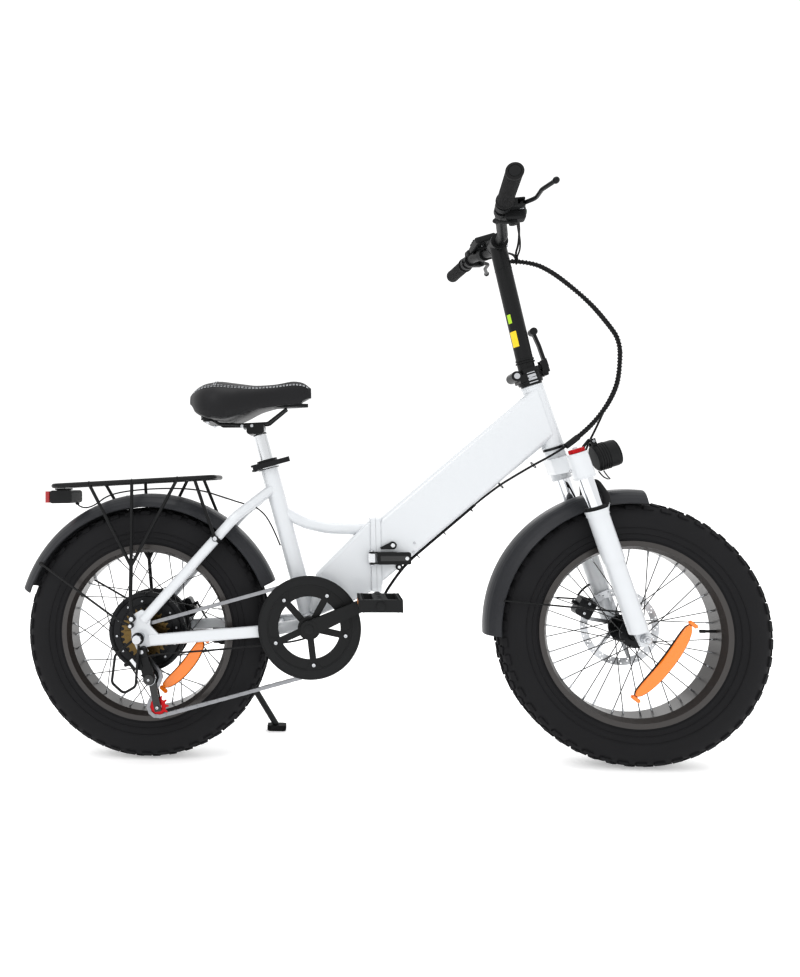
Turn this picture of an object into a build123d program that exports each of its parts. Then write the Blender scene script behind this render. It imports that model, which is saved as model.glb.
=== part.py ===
from build123d import *
import math
import os

# A fat-tyred folding bicycle with a motor in the rear hub.
# +X points forward, +Y to the rider's left, +Z up, all in millimetres.
# Everything is drawn from the rear wheel's contact point and moved at export,
# so that the origin lies on the ground under the middle of the bicycle.

# ---- driving dimensions -------------------------------------------------------------------------
WHEELBASE = 1125.0
WHEEL_R = 300.0            # outside of the tyre
MID_X = 554.6              # middle of the overall length, measured from the rear axle

TYRE_HALF = 49.0           # half the tyre's width
TYRE_WALL = 5.0
RIM_R = 210.0              # outside of the rim flanges
RIM_HALF = 40.0            # half the rim's width
RIM_WALL = 3.0
RIM_WELL_R = 190.0         # inside of the rim's well
SPOKES = 36
SPOKE_R = 1.1

CHAIN_PITCH = 12.7
RING_TEETH = 52
SPROCKET_TEETH = 11
PULLEY_TEETH = 11
CHAIN_Y = -78.0            # plane of the chain
ROLLER_R = 3.85
TOOTH_THICK = 2.0
CRANK_LENGTH = 170.0
CRANK_ANGLE = 24.0         # right crank, degrees above straight forward

BB_X, BB_Z = 393.0, 321.0  # bottom bracket axis
BB_HALF = 50.0
BB_SHELL_R = 22.0
BB_CUP_R = 18.0
SPINDLE_R = 8.5

SEAT_TOP = (295.0, 708.0)  # top of the seat tube, x and z
SEAT_TUBE_R = 21.0
POST_R = 15.9
POST_FIT = 0.08            # running clearance of the seatpost

DROPOUT_Y = 87.5           # inner face of each rear dropout
DROPOUT_T = 6.0
REAR_AXLE_R = 7.0
FRONT_AXLE_R = 5.0
BEARING_FIT = 0.06         # running clearance on every shaft and pin

HINGE_X = 552.5            # plane where the frame folds
HINGE_Z0, HINGE_Z1 = 393.0, 569.0
HINGE_HALF = 30.0          # half the hinge plates' width
HINGE_PLATE = 11.0         # thickness of each hinge plate
HINGE_GAP = 0.5            # gap between the closed hinge plates
PIN_Y = 44.0               # frame hinge pin, on the left side
PIN_R = 5.0
KNUCKLE_R = 11.0

BEAM_SLOPE = math.radians(39.74)
BEAM_AT = (742.0, 637.5)   # a point on the beam's middle line, x and z
BEAM_DEPTH = 116.0
BEAM_WIDTH = 56.0
BEAM_WALL = 3.0
BEAM_CORNER = 13.0

HEAD_TILT = math.radians(16.4)
HEAD_LOW = (973.0, 728.5)  # bottom of the head tube, x and z
HEAD_LENGTH = 152.7
HEAD_R = 25.0
STEERER_R = 14.3

LEG_Y = 80.0               # half the spacing of the fork legs
LEG_FORWARD = 20.0         # legs ahead of the steering axis
STANCHION_R = 17.0
LEG_R = 23.5
CROWN_LOW = -84.0          # heights along the steering axis, from the head tube's bottom
CROWN_TOP = -25.0
SEAL_TOP = -150.0
LEG_TOP = -157.0
FORK_TRAVEL = 40.0

STEM_PLANE = 184.0         # height of the folding plane along the steering axis
STEM_PIN_BACK = -33.0      # stem hinge pin behind the steering axis
STEM_PIN_R = 4.0
STEM_KNUCKLE_R = 12.0
BAR_AT = (861.0, 1222.0)   # middle of the handlebar, x and z
POST_TUBE_R = 19.5
BAR_R = 12.0
BAR_HALF = 347.5
GRIP_R = 17.0
GRIP_LENGTH = 128.0

FENDER_R = 333.0
FRONT_FENDER_R = 327.0
FENDER_HALF = 54.0
FENDER_SKIRT = 30.0        # depth of the mudguard's curved cross-section
FENDER_THICK = 2.5
ROTOR_R = 90.0
ROTOR_T = 2.0
CABLE_R = 2.5
BUNDLE_R = 6.0

os.makedirs("parts", exist_ok=True)
FRONT_X = WHEELBASE
STEER = Plane(
    origin=(HEAD_LOW[0], 0, HEAD_LOW[1]),
    x_dir=(math.cos(HEAD_TILT), 0, math.sin(HEAD_TILT)),
    z_dir=(-math.sin(HEAD_TILT), 0, math.cos(HEAD_TILT)),
)


# ---- helpers ------------------------------------------------------------------------------------
def polar(cx, cz, radius, degrees):
    """A point in the bicycle's side plane, at an angle above straight forward."""
    a = math.radians(degrees)
    return (cx + radius * math.cos(a), cz + radius * math.sin(a))


def rod(p, q, r, bore=0.0):
    """A straight round bar or tube from p to q."""
    start, end = Vector(*p), Vector(*q)
    plane = Plane(origin=start, z_dir=end - start)
    length = (end - start).length
    solid = extrude(plane * Circle(r), length)
    if bore:
        solid -= extrude(plane * Circle(bore), length)
    return solid


def lift(plane, sketch, height):
    """Extrudes a sketch drawn on a plane, always towards the plane's own normal."""
    return extrude(plane * sketch, height, dir=plane.z_dir)


def pipe(points, r, bend):
    """A round bar along straight runs joined by arcs."""
    path = FilletPolyline(*points, radius=bend)
    return sweep(Plane(origin=path @ 0, z_dir=path % 0) * Circle(r), path=path)


def strip(points, width, height, corner, bend):
    """A bar of rounded rectangular section along a path, its width across the bicycle."""
    path = FilletPolyline(*points, radius=bend)
    start = path % 0
    side = Vector(0, 1, 0) - start * start.dot(Vector(0, 1, 0))
    plane = Plane(origin=path @ 0, x_dir=side, z_dir=start)
    return sweep(plane * RectangleRounded(width, height, corner), path=path)


def plate(points, y0, y1):
    """A flat piece with an outline in the side plane, from y0 to y1."""
    plane = Plane(origin=(0, y1, 0), x_dir=(1, 0, 0), z_dir=(0, -1, 0))
    return lift(plane, Polygon(*points, align=None), y1 - y0)


def disc(cx, cz, r, y0, y1, bore=0.0):
    """A round piece about an axle that runs across the bicycle."""
    return rod((cx, y0, cz), (cx, y1, cz), r, bore)


def turned(points, cx, cz):
    """A closed outline of (radius, y) points turned about an axle across the bicycle."""
    profile = Plane.XY * Polygon(*points, align=None)
    return Pos(cx, 0, cz) * revolve(profile, Axis.Y)


def block(x, y, z):
    """A box given by its limits along each axis."""
    size = (x[1] - x[0], y[1] - y[0], z[1] - z[0])
    middle = ((x[0] + x[1]) / 2, (y[0] + y[1]) / 2, (z[0] + z[1]) / 2)
    return Pos(*middle) * Box(*size)


def in_steer(solid):
    """Moves a solid drawn in the steering frame to its place: x forward, z up the steering axis."""
    return STEER * solid


def steer_point(forward, left, up):
    """A point of the steering frame in the bicycle's frame."""
    return tuple(STEER.from_local_coords((forward, left, up)))


def mirrored(solid):
    """The same piece on the other side of the bicycle."""
    return mirror(solid, about=Plane.XZ)


def bar_section(solid, radius=3.0):
    """Rounds every edge of a small block."""
    return fillet(solid.edges(), radius)


def solids_of(shape):
    """The separate solids of a shape or a list of shapes."""
    if isinstance(shape, (list, tuple)):
        found = []
        for one in shape:
            found += solids_of(one)
        return found
    return list(shape.solids())


def keep(node, shape):
    """Writes one piece, moved so that the origin is under the middle of the bicycle."""
    pieces = [Pos(-MID_X, 0, 0) * s for s in solids_of(shape)]
    whole = pieces[0] if len(pieces) == 1 else Compound(children=pieces)
    whole.label = node
    export_step(whole, f"parts/{node}.step")


# ---- wheels -------------------------------------------------------------------------------------
TREAD_PATCH = 0.35


def tyre(cx):
    bead_y = RIM_HALF - RIM_WALL - 0.1
    bead_r = RIM_R - 7.0
    outer = [
        (bead_r, bead_y), (RIM_R + 4, bead_y), (RIM_R + 22, TYRE_HALF - 4), (RIM_R + 42, TYRE_HALF),
        (WHEEL_R - 30, TYRE_HALF), (WHEEL_R - 16, TYRE_HALF - 4), (WHEEL_R - 5, TYRE_HALF - 12),
        (WHEEL_R + TREAD_PATCH, TYRE_HALF - 24),
    ]
    inner = [
        (WHEEL_R - TYRE_WALL - 4, TYRE_HALF - 24), (WHEEL_R - 20, TYRE_HALF - 12),
        (WHEEL_R - 32, TYRE_HALF - TYRE_WALL), (RIM_R + 40, TYRE_HALF - TYRE_WALL),
        (RIM_R + 20, TYRE_HALF - TYRE_WALL - 4), (RIM_R + 4, bead_y - TYRE_WALL), (bead_r, bead_y - TYRE_WALL),
    ]
    # The outline goes up the left side, across the tread, down the right side and back inside.
    left_out = outer
    right_out = [(r, -y) for r, y in reversed(outer)]
    right_in = [(r, -y) for r, y in reversed(inner)]
    left_in = inner
    body = turned(left_out + right_out + right_in + left_in, cx, WHEEL_R)
    # The tread is pressed flat where it stands on the ground.
    return body - block((cx - 60, cx + 60), (-60, 60), (-10, 0))


def rim(cx):
    flange_y = RIM_HALF
    inner_y = RIM_HALF - RIM_WALL
    left = [
        (RIM_R, flange_y), (RIM_R - 12, flange_y), (RIM_WELL_R, flange_y - 14),
    ]
    right = [(r, -y) for r, y in reversed(left)]
    top_right = [
        (RIM_R, -inner_y), (RIM_R - 10, -inner_y), (RIM_WELL_R + RIM_WALL, -(flange_y - 14)),
    ]
    top_left = [(r, -y) for r, y in reversed(top_right)]
    return turned(left + right + top_right + top_left, cx, WHEEL_R)


def spokes(cx, flange_r, flange_y):
    """Crossed spokes, alternately on the outer and the inner face of each hub flange."""
    found = []
    end_r = RIM_WELL_R - 0.8
    for i in range(SPOKES):
        side = 1 if i % 2 == 0 else -1
        outer = (i // 2) % 2 == 0
        lean = 36.0 if outer else -36.0
        rim_angle = 360.0 * i / SPOKES + 5.0
        hub_angle = rim_angle + lean
        y_hub = side * (flange_y + (3.6 if outer else -3.6))
        y_rim = side * (13.0 if outer else 6.0)
        hub = polar(cx, WHEEL_R, flange_r, hub_angle)
        end = polar(cx, WHEEL_R, end_r, rim_angle)
        found.append(rod((hub[0], y_hub, hub[1]), (end[0], y_rim, end[1]), SPOKE_R))
    return found


def rotor(cx, y0, bore):
    """A brake disc: a drilled ring carried by six slanted arms."""
    sketch = Circle(ROTOR_R) - Circle(ROTOR_R - 17)
    arm = Pos((ROTOR_R - 17) / 2 + 8, 0, 0) * Rectangle(ROTOR_R - 24, 9)
    for i in range(6):
        sketch += Rot(0, 0, 60 * i + 10) * (Pos(0, 7, 0) * arm)
    sketch += Circle(27)
    sketch -= Circle(bore)
    holes = [Pos(ROTOR_R - 4.5, 0), Rot(0, 0, 5) * Pos(ROTOR_R - 9, 0), Rot(0, 0, 2.5) * Pos(ROTOR_R - 13.5, 0)]
    for i in range(24):
        for at in holes:
            sketch -= Rot(0, 0, 15 * i) * (at * Circle(1.7))
    plane = Plane(origin=(cx, y0, WHEEL_R), x_dir=(1, 0, 0), z_dir=(0, 1, 0))
    return lift(plane, sketch, ROTOR_T)


def wheel_reflector(cx, middle_angle, y):
    """A long spoke reflector with a clip at each end."""
    shape = Polygon((-52, -4), (-42, -11), (0, -14), (42, -11), (52, -4), (52, 4), (42, 7), (0, 9), (-42, 7), (-52, 4),
                    align=None)
    clips = Pos(-54, 0) * Rectangle(8, 26) + Pos(54, 0) * Rectangle(8, 26)
    plane = Plane(origin=(cx, y, WHEEL_R), x_dir=(1, 0, 0), z_dir=(0, -1, 0))
    at = Rot(0, 0, middle_angle) * Pos(0, -150, 0)
    return lift(plane, at * (shape + clips), 4.0)


FRONT_FLANGE_R, FRONT_FLANGE_Y = 29.0, 32.0
MOTOR_R = 88.0
MOTOR_Y0, MOTOR_Y1 = -36.0, 42.0
REAR_FLANGE_R, REAR_FLANGE_Y = 92.0, 30.0
FRONT_ROTOR_Y = 50.0
REAR_ROTOR_Y = 62.0


def front_hub():
    half = 44.0
    r = FRONT_AXLE_R + BEARING_FIT
    points = [(r, -half), (13, -half), (13, -FRONT_FLANGE_Y - 6), (16, -FRONT_FLANGE_Y - 1.5)]
    points += [(FRONT_FLANGE_R + 3, -FRONT_FLANGE_Y - 1.5), (FRONT_FLANGE_R + 3, -FRONT_FLANGE_Y + 1.5)]
    points += [(16, -FRONT_FLANGE_Y + 1.5), (14, -FRONT_FLANGE_Y + 8), (14, FRONT_FLANGE_Y - 8)]
    points += [(16, FRONT_FLANGE_Y - 1.5), (FRONT_FLANGE_R + 3, FRONT_FLANGE_Y - 1.5)]
    points += [(FRONT_FLANGE_R + 3, FRONT_FLANGE_Y + 1.5), (20, FRONT_FLANGE_Y + 1.5)]
    points += [(20, FRONT_ROTOR_Y - 0.1), (17, FRONT_ROTOR_Y - 0.1), (17, FRONT_ROTOR_Y + 3), (r, FRONT_ROTOR_Y + 3)]
    return turned(points, FRONT_X, WHEEL_R)


def hub_motor():
    """The motor's shell: a hollow drum with a spoke flange each side and a boss at each end."""
    r = REAR_AXLE_R + BEARING_FIT
    y0, y1 = MOTOR_Y0, MOTOR_Y1
    f, fy = REAR_FLANGE_R + 3, REAR_FLANGE_Y
    outer = [(r, y0 - 44), (13, y0 - 44), (13, y0 - 8), (30, y0 - 6), (60, y0), (MOTOR_R - 6, y0)]
    outer += [(MOTOR_R, y0 + 4), (f, -fy - 1.5), (f, -fy + 1.5), (MOTOR_R, -fy + 3), (MOTOR_R, fy - 3)]
    outer += [(f, fy - 1.5), (f, fy + 1.5), (MOTOR_R, fy + 2.5), (MOTOR_R, y1 - 6), (MOTOR_R - 8, y1), (60, y1), (34, y1 + 7)]
    outer += [(22, REAR_ROTOR_Y - 0.1), (17, REAR_ROTOR_Y - 0.1), (17, REAR_ROTOR_Y + 6), (r, REAR_ROTOR_Y + 6)]
    drum = turned(outer, 0, WHEEL_R)
    cavity = turned([(r - 1, y0 + 4), (MOTOR_R - 8, y0 + 4), (MOTOR_R - 4, y0 + 10), (MOTOR_R - 4, y1 - 10),
                     (MOTOR_R - 10, y1 - 4), (r - 1, y1 - 4)], 0, WHEEL_R)
    return drum - cavity


def motor_stator():
    """The wound core that stays still on the axle inside the hub."""
    core = disc(0, WHEEL_R, MOTOR_R - 14, MOTOR_Y0 + 14, MOTOR_Y1 - 14, MOTOR_R - 34)
    web = disc(0, WHEEL_R, MOTOR_R - 33, -3, 3, REAR_AXLE_R + 0.02)
    return core + web


# ---- drive train --------------------------------------------------------------------------------
def pitch_radius(teeth):
    return CHAIN_PITCH / (2 * math.sin(math.pi / teeth))


def toothed(teeth, phase, bore, thick, y, centre, windows=None):
    """A sprocket whose tooth gaps lie at phase + n * 360 / teeth degrees."""
    big = pitch_radius(teeth)
    half = CHAIN_PITCH / 2
    flank = [(-4.1, 1.0), (-3.8, 0.724), (-2.6, 0.488), (0.0, 0.346), (2.0, 0.25), (3.4, 0.12)]
    points = []
    step = 2 * math.pi / teeth
    for i in range(teeth):
        tooth = math.radians(phase) + step * (i + 0.5)
        for rise, share in flank[1:]:
            points.append((big + rise, tooth - share * half / big))
        for rise, share in reversed(flank):
            points.append((big + rise, tooth + share * half / big))
    outline = [(r * math.cos(a), r * math.sin(a)) for r, a in points]
    sketch = Polygon(*outline, align=None) - Circle(bore)
    if windows is not None:
        sketch -= windows
    plane = Plane(origin=(centre[0], y + thick / 2, centre[1]), x_dir=(1, 0, 0), z_dir=(0, -1, 0))
    return lift(plane, sketch, thick)


RING_R = pitch_radius(RING_TEETH)
SPROCKET_R = pitch_radius(SPROCKET_TEETH)
PULLEY_R = pitch_radius(PULLEY_TEETH)
UPPER_PULLEY = (22.0, 205.0)
CAGE_LENGTH = 70.5


def tangent_turns(circles):
    """Where the chain joins and leaves each wheel. Each circle is (x, z, r, turn), turn +1 for
    anticlockwise seen from the right side."""
    spans = []
    for i, (x0, z0, r0, s0) in enumerate(circles):
        x1, z1, r1, s1 = circles[(i + 1) % len(circles)]
        dx, dz = x1 - x0, z1 - z0
        dist = math.hypot(dx, dz)
        base = math.atan2(dz, dx)
        # The run keeps wheel 0 on one side and wheel 1 on the side that its own turn gives.
        lean = math.asin((s0 * r0 - s1 * r1) / dist)
        heading = base + lean
        p = (x0 + s0 * r0 * math.sin(heading), z0 - s0 * r0 * math.cos(heading))
        q = (x1 + s1 * r1 * math.sin(heading), z1 - s1 * r1 * math.cos(heading))
        spans.append((p, q, heading))
    return spans


def chain_route(lower):
    """The chain's middle line as a function of distance, and its total length."""
    circles = [
        (BB_X, BB_Z, RING_R, 1), (0.0, WHEEL_R, SPROCKET_R, 1),
        (UPPER_PULLEY[0], UPPER_PULLEY[1], PULLEY_R, -1), (lower[0], lower[1], PULLEY_R, 1),
    ]
    spans = tangent_turns(circles)
    pieces = []
    for i, (p, q, heading) in enumerate(spans):
        pieces.append(("line", p, q, math.dist(p, q)))
        x, z, r, s = circles[(i + 1) % 4]
        nxt = spans[(i + 1) % 4][0]
        a0 = math.atan2(q[1] - z, q[0] - x)
        a1 = math.atan2(nxt[1] - z, nxt[0] - x)
        sweep_angle = (a1 - a0) * s % (2 * math.pi)
        pieces.append(("arc", (x, z, r, s), a0, r * sweep_angle))
    total = sum(piece[3] for piece in pieces)

    def at(d):
        d %= total
        for kind, a, b, length in pieces:
            if d <= length:
                if kind == "line":
                    t = d / length
                    return (a[0] + (b[0] - a[0]) * t, a[1] + (b[1] - a[1]) * t)
                x, z, r, s = a
                angle = b + s * d / r
                return (x + r * math.cos(angle), z + r * math.sin(angle))
            d -= length
        return pieces[0][1]

    return at, total


def walk(lower):
    """Joint points one pitch apart along the route, and how far the last one is past the first."""
    at, total = chain_route(lower)
    points = [at(0.0)]
    d = 0.0
    while True:
        low, high = d + CHAIN_PITCH * 0.9, d + CHAIN_PITCH * 1.1
        here = points[-1]
        for _ in range(40):
            middle = (low + high) / 2
            if math.dist(at(middle), here) < CHAIN_PITCH:
                low = middle
            else:
                high = middle
        d = (low + high) / 2
        if d >= total - CHAIN_PITCH * 0.5:
            return points, d - total
        points.append(at(d))


def lower_pulley_at(swing):
    """The lower pulley's centre for a cage swung by so many degrees from straight down."""
    return polar(UPPER_PULLEY[0], UPPER_PULLEY[1], CAGE_LENGTH, -90 + swing)


def solve_chain():
    """Swings the cage until an even number of whole links closes the chain."""
    best = None
    for tenth in range(-200, 250):
        swing = tenth / 10
        points, over = walk(lower_pulley_at(swing))
        if len(points) % 2 == 0:
            score = abs(over) + 0.01 * abs(swing - 8)
            if best is None or score < best[0]:
                best = (score, swing)
    low, high = best[1] - 0.1, best[1] + 0.1
    count = len(walk(lower_pulley_at(best[1]))[0])
    sign = 1 if walk(lower_pulley_at(high))[1] < walk(lower_pulley_at(low))[1] else -1
    for _ in range(30):
        middle = (low + high) / 2
        points, over = walk(lower_pulley_at(middle))
        if len(points) != count:
            break
        if over * sign > 0:
            low = middle
        else:
            high = middle
    return middle, points


CAGE_SWING, CHAIN_POINTS = solve_chain()
LOWER_PULLEY = lower_pulley_at(CAGE_SWING)


def gap_phase(centre, radius):
    """The angle of a chain roller that sits on this wheel."""
    best = min(CHAIN_POINTS, key=lambda p: abs(math.dist(p, centre) - radius))
    near = [p for p in CHAIN_POINTS if abs(math.dist(p, centre) - radius) < 0.02]
    p = near[len(near) // 2] if near else best
    return math.degrees(math.atan2(p[1] - centre[1], p[0] - centre[0]))


def link_sketch():
    return SlotCenterToCenter(CHAIN_PITCH, 8.2)


def chain():
    """Inner links, which carry the rollers, between outer links, which carry the pins."""
    hole_r, pin_r = 1.9, 1.8
    roller = 1.3
    ends = [Pos(-CHAIN_PITCH / 2, 0), Pos(CHAIN_PITCH / 2, 0)]
    inner_face = link_sketch()
    for e in ends:
        inner_face -= e * Circle(hole_r)
    inner = Pos(0, 0, roller) * extrude(inner_face, 1.0) + Pos(0, 0, -roller - 1.0) * extrude(inner_face, 1.0)
    for e in ends:
        ring = e * (Circle(ROLLER_R) - Circle(hole_r))
        inner += Pos(0, 0, -roller) * extrude(ring, 2 * roller)
    outer = Pos(0, 0, 2.4) * extrude(link_sketch(), 1.0) + Pos(0, 0, -3.4) * extrude(link_sketch(), 1.0)
    for e in ends:
        outer += Pos(0, 0, -3.8) * extrude(e * Circle(pin_r), 7.6)
    found = []
    count = len(CHAIN_POINTS)
    for i, p in enumerate(CHAIN_POINTS):
        q = CHAIN_POINTS[(i + 1) % count]
        middle = ((p[0] + q[0]) / 2, (p[1] + q[1]) / 2)
        along = Vector(q[0] - p[0], 0, q[1] - p[1])
        plane = Plane(origin=(middle[0], CHAIN_Y, middle[1]), x_dir=along, z_dir=(0, -1, 0))
        found.append(plane.location * (inner if i % 2 == 0 else outer))
    return found


def chainring():
    bolts = None
    for i in range(5):
        hole = Rot(0, 0, 72 * i + CRANK_ANGLE + 36) * (Pos(RING_R - 21, 0) * Circle(2.6))
        bolts = hole if bolts is None else bolts + hole
    return toothed(RING_TEETH, gap_phase((BB_X, BB_Z), RING_R), RING_R - 28, TOOTH_THICK, CHAIN_Y, (BB_X, BB_Z), bolts)


GUARD_Y0, GUARD_Y1 = -88.0, -83.5
GUARD_R = 118.0


def chain_guard():
    """The outer ring that keeps a trouser leg off the chain."""
    ring = turned([(94, GUARD_Y0), (GUARD_R - 3, GUARD_Y0), (GUARD_R, GUARD_Y0 + 2), (GUARD_R, GUARD_Y1),
                   (GUARD_R - 4, GUARD_Y1), (94, GUARD_Y1)], 0, 0)
    return Pos(BB_X, 0, BB_Z) * ring


def crank_sides():
    """Where each pedal's axle is, right then left."""
    right = polar(BB_X, BB_Z, CRANK_LENGTH, CRANK_ANGLE)
    left = polar(BB_X, BB_Z, CRANK_LENGTH, CRANK_ANGLE + 180)
    return right, left


ARM_Y0, ARM_Y1 = -108.0, -94.0
PEDAL_PIN_R = 5.0
PEDAL_PIN_END = 205.0


def arm(pedal, y0, y1):
    """A tapering crank arm between its boss and its pedal eye."""
    hub = disc(BB_X, BB_Z, 19, y0, y1)
    eye = disc(pedal[0], pedal[1], 14, y0, y1)
    dx, dz = (pedal[0] - BB_X) / CRANK_LENGTH, (pedal[1] - BB_Z) / CRANK_LENGTH
    side = (-dz, dx)
    body = plate([
        (BB_X + side[0] * 17, BB_Z + side[1] * 17), (BB_X - side[0] * 17, BB_Z - side[1] * 17),
        (pedal[0] - side[0] * 12, pedal[1] - side[1] * 12), (pedal[0] + side[0] * 12, pedal[1] + side[1] * 12),
    ], y0 + 1, y1 - 1)
    return hub + eye + body


def crank_right():
    pedal = crank_sides()[0]
    solid = arm(pedal, ARM_Y0, ARM_Y1) + disc(BB_X, BB_Z, 26, ARM_Y1 - 1, GUARD_Y1 + 0.1)
    solid += disc(BB_X, BB_Z, 15, GUARD_Y1, -52.5)
    spider = None
    for i in range(5):
        spoke = Pos(47, 0) * Rectangle(60, 15)
        fork_a = Pos(79, 0) * (Rot(0, 0, 38) * (Pos(12, 0) * Rectangle(38, 11)))
        fork_b = Pos(79, 0) * (Rot(0, 0, -38) * (Pos(12, 0) * Rectangle(38, 11)))
        ray = Rot(0, 0, 72 * i + CRANK_ANGLE + 36) * (spoke + fork_a + fork_b)
        spider = ray if spider is None else spider + ray
    spider = spider & Circle(93.9)
    spider += Circle(24)
    plane = Plane(origin=(BB_X, GUARD_Y1, BB_Z), x_dir=(1, 0, 0), z_dir=(0, -1, 0))
    solid += lift(plane, spider, GUARD_Y1 - GUARD_Y0)
    carrier = turned([(RING_R - 34, GUARD_Y1), (93.9, GUARD_Y1), (93.9, GUARD_Y0 + 1), (RING_R - 34, GUARD_Y0 + 1)], 0, 0)
    solid += Pos(BB_X, 0, BB_Z) * carrier
    inner_y = CHAIN_Y - TOOTH_THICK / 2
    for i in range(5):
        a = 72 * i + CRANK_ANGLE + 36
        x, z = polar(BB_X, BB_Z, RING_R - 21, a)
        solid += disc(x, z, 5.5, GUARD_Y1, inner_y)
        solid += disc(x, z, 2.5, inner_y - 0.1, CHAIN_Y + TOOTH_THICK / 2 + 1.5)
    solid -= disc(BB_X, BB_Z, SPINDLE_R, -52, GUARD_Y0 - 2)
    return solid + pedal_pin(pedal, -1)


def crank_left():
    pedal = crank_sides()[1]
    solid = arm(pedal, -ARM_Y1, -ARM_Y0) + disc(BB_X, BB_Z, 18, 52.5, -ARM_Y1 + 1)
    solid -= disc(BB_X, BB_Z, SPINDLE_R, 52, 88)
    return solid + pedal_pin(pedal, 1)


def pedal_pin(centre, side):
    """The steel axle of a pedal, screwed into the crank arm's eye."""
    y0, y1 = side * (-ARM_Y0 - 4), side * PEDAL_PIN_END
    return disc(centre[0], centre[1], PEDAL_PIN_R, min(y0, y1), max(y0, y1))


def pedal(centre, side):
    """A platform pedal: a cage around a bearing barrel."""
    x, z = centre
    inner, outer = 114.0, 206.0
    cage = block((x - 46, x + 46), (inner, outer + 6), (z - 13, z + 13))
    for x0, x1 in ((x - 38, x - 15), (x + 15, x + 38)):
        cage -= block((x0, x1), (inner + 8, outer - 4), (z - 20, z + 20))
    cage -= block((x - 50, x - 41), (inner + 22, outer - 22), (z - 6.5, z + 6.5))
    cage -= block((x + 41, x + 50), (inner + 22, outer - 22), (z - 6.5, z + 6.5))
    cage -= disc(x, z, PEDAL_PIN_R + BEARING_FIT, inner - 5, PEDAL_PIN_END + 1)
    return cage if side > 0 else mirrored(cage)


def pedal_reflectors(centre, side):
    """The two amber blocks let into the ends of a pedal's cage."""
    x, z = centre
    pieces = [
        block((x - 45.5, x - 41.1), (136.1, 183.9), (z - 6.4, z + 6.4)),
        block((x + 41.1, x + 45.5), (136.1, 183.9), (z - 6.4, z + 6.4)),
    ]
    return pieces if side > 0 else [mirrored(p) for p in pieces]


def freewheel():
    """Seven sprockets from the smallest, which carries the chain, to the largest beside the spokes."""
    teeth = [SPROCKET_TEETH, 13, 15, 18, 21, 24, 28]
    pitch_y = 4.9
    bore_r = 13.1
    body = disc(0, WHEEL_R, 20.2, CHAIN_Y + pitch_y - 1, CHAIN_Y + 6 * pitch_y + 2.5, bore_r)
    solid = body + disc(0, WHEEL_R, 17.0, CHAIN_Y - 1.0, CHAIN_Y + pitch_y - 0.9, bore_r)
    for i, count in enumerate(teeth):
        phase = gap_phase((0.0, WHEEL_R), SPROCKET_R) if i == 0 else 7.0 * i
        bore = 16.0 if i == 0 else 19.0
        solid += toothed(count, phase, bore, TOOTH_THICK, CHAIN_Y + i * pitch_y, (0.0, WHEEL_R))
    return solid


def pulley(centre):
    return toothed(PULLEY_TEETH, gap_phase(centre, PULLEY_R), 3.0 + BEARING_FIT, TOOTH_THICK, CHAIN_Y, centre)


CAGE_Y = 5.5               # inner faces of the cage plates, from the chain's plane


def derailleur_cage():
    """Two plates that hold the pulleys, pinned at the upper pulley's axle."""
    dx = (LOWER_PULLEY[0] - UPPER_PULLEY[0]) / CAGE_LENGTH
    dz = (LOWER_PULLEY[1] - UPPER_PULLEY[1]) / CAGE_LENGTH
    sides = []
    for y0 in (CHAIN_Y + CAGE_Y, CHAIN_Y - CAGE_Y - 2.0):
        p = (UPPER_PULLEY[0] - dx * 10, UPPER_PULLEY[1] - dz * 10)
        q = (LOWER_PULLEY[0] + dx * 10, LOWER_PULLEY[1] + dz * 10)
        body = plate([
            (p[0] - dz * 9, p[1] + dx * 9), (p[0] + dz * 9, p[1] - dx * 9),
            (q[0] + dz * 8, q[1] - dx * 8), (q[0] - dz * 8, q[1] + dx * 8),
        ], y0, y0 + 2.0)
        sides.append(body)
    solid = sides[0] + sides[1]
    for centre in (UPPER_PULLEY, LOWER_PULLEY):
        solid += disc(centre[0], centre[1], 3.0, CHAIN_Y - CAGE_Y - 2, CHAIN_Y + CAGE_Y + 2)
    # The pivot stub that turns in the derailleur's lower knuckle.
    solid += disc(UPPER_PULLEY[0], UPPER_PULLEY[1], 5.0, CHAIN_Y - CAGE_Y - 16, CHAIN_Y - CAGE_Y - 1.5)
    return solid


HANGER = (6.0, 268.0)


def derailleur_body():
    """Hanger bolt, link body and the lower knuckle that the cage turns in."""
    y_out = -DROPOUT_Y - DROPOUT_T
    x, z = HANGER
    solid = disc(x, z, 11, y_out - 14, y_out - 0.1)
    solid += plate([(x - 11, z - 4), (x + 11, z - 2), (UPPER_PULLEY[0] + 13, UPPER_PULLEY[1] + 6),
                    (UPPER_PULLEY[0] - 14, UPPER_PULLEY[1] + 4)], y_out - 13, y_out - 3)
    knuckle = disc(UPPER_PULLEY[0], UPPER_PULLEY[1], 13, y_out - 13, CHAIN_Y - CAGE_Y - 2.5)
    solid += knuckle
    solid += plate([(x - 30, z - 22), (x - 6, z - 10), (x + 2, z - 34), (x - 20, z - 44)], y_out - 16, y_out - 3)
    solid -= disc(UPPER_PULLEY[0], UPPER_PULLEY[1], 5.0 + BEARING_FIT, CHAIN_Y - CAGE_Y - 17, CHAIN_Y - CAGE_Y)
    return solid


def derailleur_guard():
    """A wire hoop round the derailleur, held under the axle nut."""
    y = -DROPOUT_Y - DROPOUT_T - 24
    loop = pipe([(-14, y, 295), (-54, y, 262), (-62, y, 200), (-34, y, 176), (-6, y, 192), (2, y, 285)], 3.0, 13.0)
    tab = disc(0, WHEEL_R, 14, y - 1.5, y + 1.5, REAR_AXLE_R + 0.1)
    return loop + tab


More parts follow.
